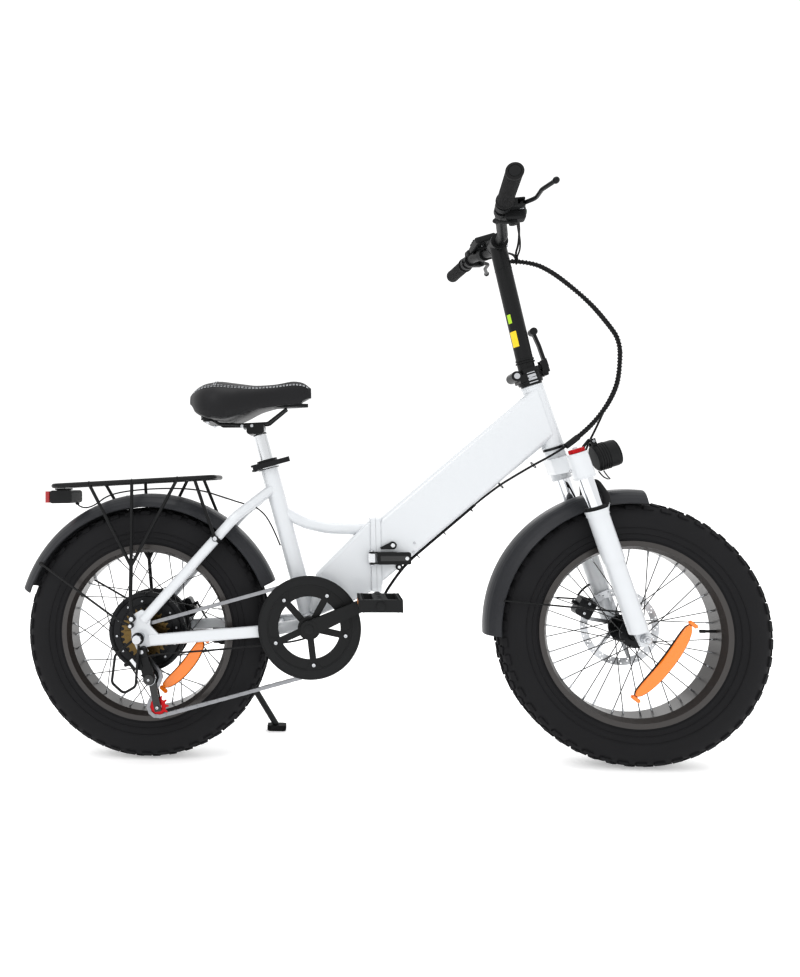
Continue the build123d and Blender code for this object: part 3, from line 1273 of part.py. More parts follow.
def stem_base():
    """The clamp on the steerer, the lower half of the stem's hinge."""
    z0 = HEAD_LENGTH + 5.4
    body = Pos(0, 0, z0) * post(28, STEM_PLANE - z0 - 0.3)
    body += Pos(-14, 0, (z0 + STEM_PLANE) / 2 + 3) * Box(30, 50, STEM_PLANE - z0 - 8)
    for side in (1, -1):
        knuckle = Pos(STEM_PIN_BACK, side * 19, STEM_PLANE) * (Rot(90, 0, 0) * Cylinder(STEM_KNUCKLE_R, 13.6))
        body += knuckle
    body += Pos(34, 0, LEVER_H) * Box(20, 15.8, 13)
    body -= Pos(LEVER_A, 0, LEVER_H) * (Rot(90, 0, 0) * Cylinder(3.0, 60))
    body -= Pos(STEM_PIN_BACK, 0, STEM_PLANE) * (Rot(90, 0, 0) * Cylinder(STEM_KNUCKLE_R + 0.6, 24.4))
    body -= Pos(STEM_PIN_BACK, 0, STEM_PLANE) * (Rot(90, 0, 0) * Cylinder(STEM_PIN_R + 0.02, 80))
    body -= Pos(0, 0, z0 - 5) * post(STEERER_R + 0.02, 80)
    return in_steer(body)


def stem_hinge_pin():
    pin = Pos(STEM_PIN_BACK, 0, STEM_PLANE) * (Rot(90, 0, 0) * Cylinder(STEM_PIN_R, 56))
    for side in (1, -1):
        pin += Pos(STEM_PIN_BACK, side * 27.5, STEM_PLANE) * (Rot(90, 0, 0) * Cylinder(7, 3))
    return in_steer(pin)


STEM_BASE_POINT = steer_point(0, 0, STEM_PLANE)


def handlepost():
    """The folding stem's post with its hinge plate and the T that holds the bar."""
    plate_top = STEM_PLANE + 10
    flange = Pos(2, 0, STEM_PLANE + 0.3) * post(28.2, 9.7)
    flange &= Pos(20, 0, STEM_PLANE + 5) * Box(78, 80, 40)
    centre = Pos(STEM_PIN_BACK, 0, STEM_PLANE) * (Rot(90, 0, 0) * Cylinder(STEM_KNUCKLE_R, 23.6))
    web = Pos(-19, 0, STEM_PLANE + 5.2) * Box(28, 23.6, 9.6)
    tongue = Pos(33, 0, STEM_PLANE + 5.2) * Box(16, 15.8, 9.6)
    body = flange + centre + web + tongue
    body -= Pos(STEM_PIN_BACK, 0, STEM_PLANE) * (Rot(90, 0, 0) * Cylinder(STEM_PIN_R + BEARING_FIT, 60))
    body = in_steer(body)
    start = steer_point(1, 0, STEM_PLANE + 6)
    end = (BAR_AT[0], 0, BAR_AT[1])
    body += rod(start, end, POST_TUBE_R)
    body += disc(BAR_AT[0], BAR_AT[1], POST_TUBE_R, -24, 24)
    inside = steer_point(1, 0, STEM_PLANE + 16)
    near_end = tuple(Vector(*inside) + (Vector(*end) - Vector(*inside)) * 0.9)
    body -= rod(inside, near_end, POST_TUBE_R - 2.5)
    return body - disc(BAR_AT[0], BAR_AT[1], BAR_R + 0.02, -60, 60)


def stem_latch_lever():
    """The lever that locks the folding stem: cheeks beside the post's tongue and a blade up its front."""
    body = None
    for side in (1, -1):
        cheek = Pos(LEVER_A, side * 9.8, LEVER_H) * (Rot(90, 0, 0) * Cylinder(7.5, 3))
        cheek += Pos(LEVER_A + 4, side * 9.8, LEVER_H + 15) * Box(15, 3, 30)
        body = cheek if body is None else body + cheek
    body += Pos(LEVER_A, 0, LEVER_H) * (Rot(90, 0, 0) * Cylinder(3.0 - BEARING_FIT, 25))
    body += Pos(LEVER_A + 9, 0, LEVER_H + 22) * Box(7, 22.6, 20)
    low, mid, high = (LEVER_A + 9, 0, LEVER_H + 18), (LEVER_A + 9, 0, LEVER_H + 66), (LEVER_A + 6, 0, LEVER_H + 100)
    blade = FilletPolyline(low, mid, high, radius=60)
    start = Plane(origin=blade @ 0, x_dir=(0, 1, 0), z_dir=blade % 0)
    body += sweep(start * RectangleRounded(17, 7, 3), path=blade)
    body += Pos(LEVER_A + 6, 0, LEVER_H + 102) * (Rot(90, 0, 0) * Cylinder(9, 20))
    return in_steer(body)


def bar_points():
    x, z = BAR_AT
    half = [(x, 55.0, z), (x - 27, 150.0, z + 15), (x - 45, BAR_HALF, z + 27)]
    right = [(px, -py, pz) for px, py, pz in reversed(half)]
    return right + half


def handlebar():
    path = FilletPolyline(*bar_points(), radius=60)
    return sweep(Plane(origin=path @ 0, z_dir=path % 0) * Circle(BAR_R), path=path)


def grip_frame(side, along):
    """A plane on the bar's straight end, so far in from its tip, looking outwards along it."""
    x, z = BAR_AT
    a = Vector(x - 27, side * 150.0, z + 15)
    b = Vector(x - 45, side * BAR_HALF, z + 27)
    d = (b - a).normalized()
    forward = Vector(1, 0, 0) - d * d.X
    return Plane(origin=b - d * along, x_dir=forward, z_dir=d)


def grips():
    found = []
    for side in (1, -1):
        plane = grip_frame(side, GRIP_LENGTH)
        body = extrude(plane * Circle(GRIP_R), GRIP_LENGTH + 3)
        body -= extrude(plane * Circle(BAR_R + 0.05), GRIP_LENGTH)
        found.append(body)
    return found


CONTROL_IN = GRIP_LENGTH + 18   # brake clamps this far in from the bar's tips


def control_box(side, along, centre, size, corner=3.0):
    """A rounded box on the bar: forward, outward and up from the bar's axis."""
    plane = grip_frame(side, along)
    up = plane.y_dir if plane.y_dir.Z > 0 else -plane.y_dir
    frame = Plane(origin=plane.origin, x_dir=plane.x_dir, z_dir=up)
    body = fillet(Box(*size).edges(), corner)
    # Local y of this frame runs along the bar; its sign depends on the side.
    sign = 1 if frame.y_dir.dot(plane.z_dir) > 0 else -1
    return frame * (Pos(centre[0], sign * centre[1], centre[2]) * body)


def bar_hole(side, along, span):
    plane = grip_frame(side, along + span / 2)
    return extrude(plane * Circle(BAR_R + 0.05), span)


def control_rod(side, along, p, q, r):
    """A bar between two points given forward, outward and up from the bar's axis."""
    plane = grip_frame(side, along)
    up = plane.y_dir if plane.y_dir.Z > 0 else -plane.y_dir

    def place(c):
        return tuple(plane.origin + plane.x_dir * c[0] + plane.z_dir * c[1] + up * c[2])

    return rod(place(p), place(q), r)


def brake_clamps():
    """The ring on the bar and the yoke that each brake lever turns in."""
    found = []
    for side in (1, -1):
        plane = grip_frame(side, CONTROL_IN + 8)
        ring = extrude(plane * Circle(17.5), 16)
        body = ring + control_box(side, CONTROL_IN, (28, 0, 0), (30, 22, 20), 3)
        body -= control_box(side, CONTROL_IN, (43, 6, 0), (32, 44, 11.2), 1)
        body -= bar_hole(side, CONTROL_IN, 40)
        body += control_rod(side, CONTROL_IN, (37, -4, -10), (37, -4, 10), 3)
        found.append(body)
    return found


def brake_lever(side):
    """The blade that the fingers pull back towards the grip; the left one mirrors the right."""
    if side > 0:
        return mirrored(brake_lever(-1))
    plane = grip_frame(side, CONTROL_IN)
    up = plane.y_dir if plane.y_dir.Z > 0 else -plane.y_dir

    def place(c):
        return tuple(plane.origin + plane.x_dir * c[0] + plane.z_dir * c[1] + up * c[2])

    knots = [place((37, -4, 0)), place((62, 18, 0)), place((66, 60, -2)), place((84, 104, -6))]
    blade = pipe(knots, 4.8, 24)
    hub = control_rod(side, CONTROL_IN, (37, -4, -4.8), (37, -4, 4.8), 8)
    ball = Pos(*knots[-1]) * Sphere(7)
    return hub + blade + ball - control_rod(side, CONTROL_IN, (37, -4, -12), (37, -4, 12), 3 + BEARING_FIT)


SHIFT_IN = GRIP_LENGTH + 46
THROTTLE_IN = GRIP_LENGTH + 46


def shifter_pod():
    """The gear shifter's housing, in front of and below the right side of the bar."""
    plane = grip_frame(-1, SHIFT_IN + 7)
    body = extrude(plane * Circle(16.5), 14)
    body += control_box(-1, SHIFT_IN, (26, 0, -12), (44, 29, 30), 6)
    body -= bar_hole(-1, SHIFT_IN, 60)
    return body + control_rod(-1, SHIFT_IN, (22, 0, -26), (22, 0, -35), 4)


def shift_lever():
    """The thumb lever under the shifter."""
    hub = control_rod(-1, SHIFT_IN, (22, 0, -27.4), (22, 0, -34), 9)
    hub -= control_rod(-1, SHIFT_IN, (22, 0, -20), (22, 0, -40), 4 + BEARING_FIT)
    arm_rod = control_rod(-1, SHIFT_IN, (16, 4, -31), (-14, 18, -33), 3.4)
    arm_rod -= control_rod(-1, SHIFT_IN, (22, 0, -20), (22, 0, -40), 4 + BEARING_FIT)
    tip = control_rod(-1, SHIFT_IN, (-14, 18, -33), (-20, 26, -33), 5)
    return hub + arm_rod + tip


def throttle_body():
    """The throttle and its buttons, inboard of the left brake clamp."""
    plane = grip_frame(1, THROTTLE_IN + 8)
    body = extrude(plane * Circle(17), 16)
    body += control_box(1, THROTTLE_IN, (4, -5, 14), (34, 30, 22), 5)
    body -= bar_hole(1, THROTTLE_IN, 70)
    return body + control_rod(1, THROTTLE_IN, (-20, 2, -4), (-20, 14, -4), 3)


def display():
    """The control display on its clamp, left of the stem."""
    p, q = Vector(*bar_points()[3]), Vector(*bar_points()[4])
    along = (q - p).normalized()
    middle = p + along * 42
    case = fillet(Box(52, 84, 16).edges(), 5)
    body = Pos(middle.X - 3, middle.Y, middle.Z + 29) * (Rot(0, -14, 0) * case)
    body += rod(middle - along * 8, middle + along * 8, BAR_R + 5)
    body += Pos(middle.X - 2, middle.Y, middle.Z + 18) * Box(16, 16, 16)
    return body - rod(middle - along * 20, middle + along * 20, BAR_R + 0.05)


# ---- cables -------------------------------------------------------------------------------------
LOOP_TOP = [
    (891.6, -4, 1177), (938, -8, 1171), (980, -12, 1146), (1024, -14, 1107), (1068, -16, 1062), (1106, -16, 1010),
    (1126, -15, 978), (1128, -15, 951.3),
]
LOOP_LOW = [(1128, -15, 950), (1126, -14, 892), (1104, -16, 838), (1068, -22, 790), (1026, -29, 752), (992, -33, 728)]
UNDER_BEAM = [(991.6, -33, 727.7), (960, -35, 708), (918, -31, 686), (878, -24, 662), (833, -16, 634), (787, -10, 596)]


def smooth_run(points):
    """A path of straight runs joined by arcs as large as each pair of runs allows."""
    radii = []
    for a, b, c in zip(points, points[1:], points[2:]):
        u, v = Vector(*b) - Vector(*a), Vector(*c) - Vector(*b)
        turn = math.radians(u.get_angle(v))
        short = min(u.length, v.length)
        radii.append(0.45 * short / math.tan(turn / 2))
    return FilletPolyline(*points, radius=radii)


def cable(points, r):
    path = smooth_run(points)
    return sweep(Plane(origin=path @ 0, z_dir=path % 0) * Circle(r), path=path)


def main():
    right_pedal, left_pedal = crank_sides()
    keep("rear_frame", rear_frame())
    keep("frame_hinge_pin", [frame_hinge_pin(), latch_keeper()])
    keep("motor_controller", motor_controller())
    keep("bottom_bracket", bottom_bracket_cups())
    keep("rear_axle", [rear_axle(), motor_stator()])
    keep("rear_caliper", rear_caliper())
    keep("derailleur_body", [derailleur_body(), derailleur_guard()])
    keep("rear_fender", rear_fender())
    keep("rack", rack())
    keep("tail_light", [tail_light(), tail_light_lens()])
    keep("kickstand_bracket", kickstand_bracket())
    keep("kickstand_leg", kickstand_leg())
    keep("seat_clamp", seat_clamp())
    keep("seat_clamp_lever", seat_clamp_lever())
    keep("seatpost", seatpost())
    keep("saddle_rails", [saddle_clamp(), saddle_bridge(), saddle_springs()])
    keep("saddle_base", saddle_base())
    keep("saddle_cover", saddle_cover())
    keep("front_frame", front_frame())
    keep("battery_pack", battery_pack())
    keep("headset", headset())
    keep("frame_latch_lever", frame_latch_lever())
    keep("safety_catch", safety_catch())
    keep("fork_crown", [fork_crown(), headlight_bracket()])
    keep("stanchions", stanchions())
    keep("lockout_knob", lockout_knob())
    keep("stem_base", [stem_base(), stem_hinge_pin()])
    keep("headlight", [headlight_body(), headlight_lens()])
    keep("fork_lowers", [fork_lowers(), dust_seals()])
    keep("front_axle", front_axle())
    keep("front_caliper", front_caliper())
    keep("front_fender", front_fender())
    for name, cx in (("front", FRONT_X), ("rear", 0.0)):
        keep(name + "_tyre", tyre(cx))
    keep("front_rim", rim(FRONT_X))
    keep("rear_rim", rim(0.0))
    front_spokes = spokes(FRONT_X, FRONT_FLANGE_R, FRONT_FLANGE_Y)
    rear_spokes = spokes(0.0, REAR_FLANGE_R, REAR_FLANGE_Y)
    keep("front_hub", [front_hub(), rotor(FRONT_X, FRONT_ROTOR_Y, 17.1), front_spokes])
    keep("hub_motor", [hub_motor(), rotor(0.0, REAR_ROTOR_Y, 17.1), rear_spokes])
    keep("freewheel", freewheel())
    keep("crank_right", crank_right())
    keep("chainring", [chainring(), chain_guard()])
    keep("crank_left", [crank_left(), crank_spindle()])
    keep("chain", chain())
    keep("pedal_right", [pedal(right_pedal, -1)] + pedal_reflectors(right_pedal, -1))
    keep("pedal_left", [pedal(left_pedal, 1)] + pedal_reflectors(left_pedal, 1))
    keep("derailleur_cage", derailleur_cage())
    keep("upper_pulley", pulley(UPPER_PULLEY))
    keep("lower_pulley", pulley(LOWER_PULLEY))
    keep("handlepost", handlepost())
    keep("stem_latch_lever", stem_latch_lever())
    keep("handlebar", handlebar())
    keep("grips", grips())
    keep("bar_controls", [brake_clamps(), shifter_pod(), throttle_body(), display()])
    keep("brake_lever_right", brake_lever(-1))
    keep("brake_lever_left", brake_lever(1))
    keep("shift_lever", shift_lever())
    keep("cable_loop", cable(LOOP_TOP, BUNDLE_R))
    keep("cable_neck", cable(LOOP_LOW, BUNDLE_R))
    keep("cable_run", cable(UNDER_BEAM, CABLE_R))


main()
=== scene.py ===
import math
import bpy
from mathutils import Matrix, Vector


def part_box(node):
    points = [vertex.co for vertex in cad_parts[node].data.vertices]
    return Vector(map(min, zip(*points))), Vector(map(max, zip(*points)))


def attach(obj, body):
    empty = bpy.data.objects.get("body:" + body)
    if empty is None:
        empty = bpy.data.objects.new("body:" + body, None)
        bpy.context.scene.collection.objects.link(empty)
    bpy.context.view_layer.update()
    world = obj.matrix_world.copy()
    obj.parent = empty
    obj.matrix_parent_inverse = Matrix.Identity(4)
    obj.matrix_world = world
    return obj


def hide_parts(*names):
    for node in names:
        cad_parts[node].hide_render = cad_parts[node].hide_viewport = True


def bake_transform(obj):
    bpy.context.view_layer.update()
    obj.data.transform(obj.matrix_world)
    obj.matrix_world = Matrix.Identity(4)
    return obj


bl_info = {
    "name": "Fat-tyred folding bicycle",
    "version": (1, 0, 0),
    "blender": (4, 5, 0),
    "location": "3D View > Sidebar > Bicycle",
    "description": "Dresses the packed folding bicycle with paint, rubber, leather, cables and small parts",
    "category": "Object",
}

import bmesh
import bpy
from mathutils import Matrix, Vector

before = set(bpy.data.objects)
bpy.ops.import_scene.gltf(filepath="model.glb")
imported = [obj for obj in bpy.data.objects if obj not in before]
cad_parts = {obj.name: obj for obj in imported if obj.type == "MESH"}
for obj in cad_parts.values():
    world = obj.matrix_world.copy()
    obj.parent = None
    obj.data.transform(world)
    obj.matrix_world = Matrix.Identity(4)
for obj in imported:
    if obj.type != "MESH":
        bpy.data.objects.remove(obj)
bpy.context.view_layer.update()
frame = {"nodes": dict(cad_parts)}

# The bicycle is laid out in millimetres from the rear wheel's contact point.
MIDDLE = 554.6
WHEEL_R = 300.0
FRONT_AXLE = (1125.0, 300.0)
REAR_AXLE = (0.0, 300.0)
CRANK_AXLE = (393.0, 321.0)
HEAD_TILT = math.radians(16.4)
HEAD_LOW = (973.0, 728.5)
BAR_AT = (861.0, 1222.0)
BAR_HALF = 347.5
BAR_R = 12.0
GRIP_LENGTH = 128.0
STEM_PLANE = 184.0
CRANK_LENGTH, CRANK_ANGLE = 170.0, 24.0
STRAND_OFFSET, WRAP_R = 2.8, 4.9
MERGE = 1e-6
LEFT, RIGHT = (0, 1, 0), (0, -1, 0)
LEG_FORWARD, LEG_Y = 20.0, 80.0


# ---- places ---------------------------------------------------------------------------------------
def at(x, y, z):
    """A point given in millimetres from the rear wheel's contact point."""
    return Vector(((x - MIDDLE) / 1000, y / 1000, z / 1000))


def steer(forward, left, up):
    """A point given along and square to the steering axis, from the head tube's bottom."""
    x = HEAD_LOW[0] + forward * math.cos(HEAD_TILT) - up * math.sin(HEAD_TILT)
    z = HEAD_LOW[1] + forward * math.sin(HEAD_TILT) + up * math.cos(HEAD_TILT)
    return at(x, left, z)


def around(axle, radius, degrees, y):
    """A point on a circle about a wheel's axle, its angle counted up from straight forward."""
    a = math.radians(degrees)
    return at(axle[0] + radius * math.cos(a), y, axle[1] + radius * math.sin(a))


def on(axle, y):
    """The point on a wheel's or the crank's axle at a distance to the left."""
    return at(axle[0], y, axle[1])


def millimetres(p):
    """The reverse of at()."""
    return (p[0] * 1000 + MIDDLE, p[1] * 1000, p[2] * 1000)


def bar_end(side, inward, forward=0.0, up=0.0):
    """A point near the handlebar's straight end: so far in from its tip, ahead of it and above it."""
    a = Vector((BAR_AT[0] - 27, side * 150.0, BAR_AT[1] + 15))
    b = Vector((BAR_AT[0] - 45, side * BAR_HALF, BAR_AT[1] + 27))
    along = (b - a).normalized()
    ahead = (Vector((1, 0, 0)) - along * along.x).normalized()
    over = along.cross(ahead)
    if over.z < 0:
        over = -over
    p = b - along * inward + ahead * forward + over * up
    return at(*p)


SEAT_LOW, SEAT_HIGH = Vector((393.0, 0, 321.0)), Vector((295.0, 0, 708.0))


def seat_line(distance, forward=0.0, left=0.0):
    """A point so far up the seat tube from the bottom bracket, and ahead of or beside it."""
    up = (SEAT_HIGH - SEAT_LOW).normalized()
    ahead = Vector((up.z, 0, -up.x))
    p = SEAT_LOW + up * distance + ahead * forward + Vector((0, left, 0))
    return at(*p)


# ---- colours and materials ------------------------------------------------------------------------
def linear(code):
    """An sRGB hex colour as linear red, green and blue."""
    parts = [int(code[i:i + 2], 16) / 255 for i in (1, 3, 5)]
    return tuple(c / 12.92 if c <= 0.04045 else ((c + 0.055) / 1.055) ** 2.4 for c in parts)


def colour(code, name, description):
    return bpy.props.FloatVectorProperty(
        name=name, description=description, subtype="COLOR", size=3, min=0.0, max=1.0, default=linear(code))


def length(value, name, description):
    return bpy.props.FloatProperty(name=name, description=description, unit="LENGTH", default=value, min=0.0)


class BicycleColours(bpy.types.PropertyGroup):
    """The colours that a user would change."""

    frame: colour("#CFD2D5", "Frame", "Gloss enamel of the frame and the fork legs")
    metal: colour("#131415", "Black metal", "Powder coat of the stem, bars, cranks and rack")
    guards: colour("#2F3033", "Mudguards", "Moulded mudguards")
    tyres: colour("#1C1C1E", "Tyres", "Tyre rubber")
    rims: colour("#2E2A28", "Rims", "Painted rims")
    saddle: colour("#1B1B1D", "Saddle", "Saddle cover")
    knob: colour("#B0121A", "Lock-out knob", "Anodised knob and pulleys")
    reflector: colour("#F08010", "Spoke reflectors", "Moulded spoke reflectors")
    floor: colour("#F6F6F6", "Floor", "Plain floor")


class BicycleSizes(bpy.types.PropertyGroup):
    """The sizes that a user would change."""

    tread_height: length(0.005, "Tread height", "How far the tyre's knobs stand proud")
    tread_rows: bpy.props.IntProperty(name="Tread rows", description="Rows of knobs round a tyre",
                                      default=46, min=12)
    stitch: length(0.005, "Stitch", "Length of one stitch of the saddle's seams")
    cable: length(0.005, "Cable", "Outside diameter of one cable")
    coil_wire: length(0.0045, "Spring wire", "Diameter of the saddle springs' wire")


def add(tree, kind, settings=None, links=None):
    """Adds one node with its settings; links maps an input to the node or socket that feeds it."""
    node = tree.nodes.new(kind)
    for key, value in (settings or {}).items():
        if key in node.inputs:
            node.inputs[key].default_value = value
        else:
            setattr(node, key, value)
    for key, source in (links or {}).items():
        tree.links.new(source if isinstance(source, bpy.types.NodeSocket) else source.outputs[0],
                       node.inputs[key])
    return node


MATERIALS = {}


def surface(name, tint, rough, metal=0.0, grain=None, mottle=0.0, **sockets):
    """A Principled material. grain is (size in mm, depth in mm): fine relief; mottle is how far the
    colour wanders from its middle value."""
    material = bpy.data.materials.new(name)
    material.use_nodes = True
    tree = material.node_tree
    shader = tree.nodes["Principled BSDF"]
    shade = tuple(tint) + (1.0,)
    shader.inputs["Base Color"].default_value = shade
    shader.inputs["Roughness"].default_value = rough
    shader.inputs["Metallic"].default_value = metal
    for key, value in sockets.items():
        shader.inputs[key.replace("_", " ").title().replace("Ior", "IOR")].default_value = value
    if grain or mottle:
        place = add(tree, "ShaderNodeTexCoord").outputs["Object"]
    if grain:
        size, depth = grain
        noise = add(tree, "ShaderNodeTexNoise", {"Scale": 1000 / size, "Detail": 2.0}, {"Vector": place})
        bump = add(tree, "ShaderNodeBump", {"Strength": 1.0, "Distance": depth / 1000}, {"Height": noise})
        tree.links.new(bump.outputs[0], shader.inputs["Normal"])
    if mottle:
        cloud = add(tree, "ShaderNodeTexNoise", {"Scale": 1000 / 60, "Detail": 3.0}, {"Vector": place})
        low = tuple(c * (1 - mottle) for c in tint) + (1.0,)
        high = tuple(min(1.0, c * (1 + mottle)) for c in tint) + (1.0,)
        mix = add(tree, "ShaderNodeMix", {"data_type": "RGBA"})
        tree.links.new(cloud.outputs["Fac"], mix.inputs[0])
        mix.inputs[6].default_value = low
        mix.inputs[7].default_value = high
        tree.links.new(mix.outputs[2], shader.inputs["Base Color"])
    MATERIALS[name] = material
    return material


def make_materials(c):
    """Every finish on the bicycle, from its real material."""
    # White gloss enamel under clear lacquer on welded alloy: clean white with sharp soft highlights.
    surface("white_enamel", c.frame, 0.28, coat_weight=0.7, coat_roughness=0.06, grain=(9.0, 0.01))
    # Satin black powder coat on steel and alloy: dark, with broad dull highlights and a fine peel.
    surface("black_powder_coat", c.metal, 0.42, specular_ior_level=0.28, grain=(1.2, 0.02), mottle=0.06)
    # Black anodised alloy: deeper and a little sharper than powder coat.
    surface("black_anodised_alloy", linear("#1A1B1D"), 0.33, metal=0.55)
    # Gloss black paint on pressed steel: nearly a mirror at a low angle.
    surface("black_gloss_paint", linear("#101112"), 0.22, coat_weight=0.4, coat_roughness=0.08)
    # Moulded dark grey ABS: soft sheen with a faint moulding texture.
    surface("grey_abs", c.guards, 0.38, specular_ior_level=0.28, grain=(0.9, 0.012), mottle=0.04)
    # Moulded black nylon: dull, slightly pebbled.
    surface("black_nylon", linear("#191A1B"), 0.55, specular_ior_level=0.28, grain=(1.0, 0.03))
    # Carbon-filled tyre rubber: charcoal, matt, with a cast grain.
    surface("tyre_rubber", c.tyres, 0.78, specular_ior_level=0.28, grain=(1.6, 0.05), mottle=0.12)
    # Soft black rubber of grips, seals and hoses: matt.
    surface("soft_rubber", linear("#1A1A1B"), 0.68, specular_ior_level=0.28, grain=(0.8, 0.02))
    # Dark brown-grey paint on rolled alloy rims: satin with a thin lacquer.
    surface("rim_paint", c.rims, 0.36, coat_weight=0.3, coat_roughness=0.15)
    # Hard chrome on ground steel: mirror bright.
    surface("hard_chrome", linear("#DADCDF"), 0.07, metal=1.0)
    # Stainless steel, ground in circles: bright with a fine lay.
    surface("ground_stainless", linear("#C3C5C8"), 0.3, metal=1.0, grain=(0.5, 0.006))
    # Zinc-plated steel of nuts, bolts and nipples: bright, a little cloudy.
    surface("zinc_plate", linear("#BFC1C4"), 0.26, metal=1.0)
    # Nickel-plated chain steel with oil on it: grey and slick.
    surface("oiled_chain_steel", linear("#8E8F92"), 0.3, metal=1.0, mottle=0.15)
    # Brown-gold hardened sprocket steel.
    surface("bronzed_sprocket_steel", linear("#6C5B3C"), 0.34, metal=1.0, mottle=0.15)
    # Machined bare alloy: pale, soft highlights.
    surface("machined_alloy", linear("#CFD1D3"), 0.24, metal=1.0)
    # Red anodised alloy: metallic red.
    surface("red_anodised_alloy", c.knob, 0.3, metal=0.6)
    # Black synthetic leather, embossed: dull sheen with a fine pebble.
    surface("saddle_leatherette", c.saddle, 0.46, specular_ior_level=0.28, grain=(1.3, 0.06))
    # Pale polyester thread of the saddle's seams.
    surface("seam_thread", linear("#B9BBBE"), 0.7)
    # Orange acrylic reflectors with moulded prisms behind a clear face.
    surface("orange_acrylic", c.reflector, 0.16, coat_weight=0.8, coat_roughness=0.04, grain=(3.0, 0.25))
    # Amber acrylic of the pedal reflectors.
    surface("amber_acrylic", linear("#E9952B"), 0.16, coat_weight=0.8, grain=(2.4, 0.2))
    # Red acrylic of the rear lamp.
    surface("red_acrylic", linear("#9C1016"), 0.14, coat_weight=0.8, grain=(3.0, 0.2))
    # Clear polycarbonate lamp lens over a bright bowl: pale and glossy.
    surface("lamp_lens", linear("#D9DEE2"), 0.1, coat_weight=1.0, coat_roughness=0.03)
    # Chromed plastic bowl behind the lens.
    surface("lamp_bowl", linear("#9FA3A8"), 0.18, metal=1.0)
    # Dark glass of the display.
    surface("display_glass", linear("#0D1013"), 0.07, coat_weight=1.0, coat_roughness=0.02)
    # Green signal lamp.
    surface("green_signal", linear("#2FD46A"), 0.3, emission_color=linear("#2FD46A") + (1.0,),
            emission_strength=1.2)
    # Yellow printed vinyl label and a yellow-green round one, left blank.
    surface("yellow_vinyl", linear("#E9C822"), 0.4)
    surface("lime_vinyl", linear("#A9CF2C"), 0.4)
    # Enamelled copper winding of the motor.
    surface("copper_winding", linear("#A85B2B"), 0.4, metal=0.9, grain=(0.9, 0.1))
    # Matt white floor.
    surface("matt_floor", c.floor, 0.9, emission_color=(1.0, 1.0, 1.0, 1.0), emission_strength=0.3)


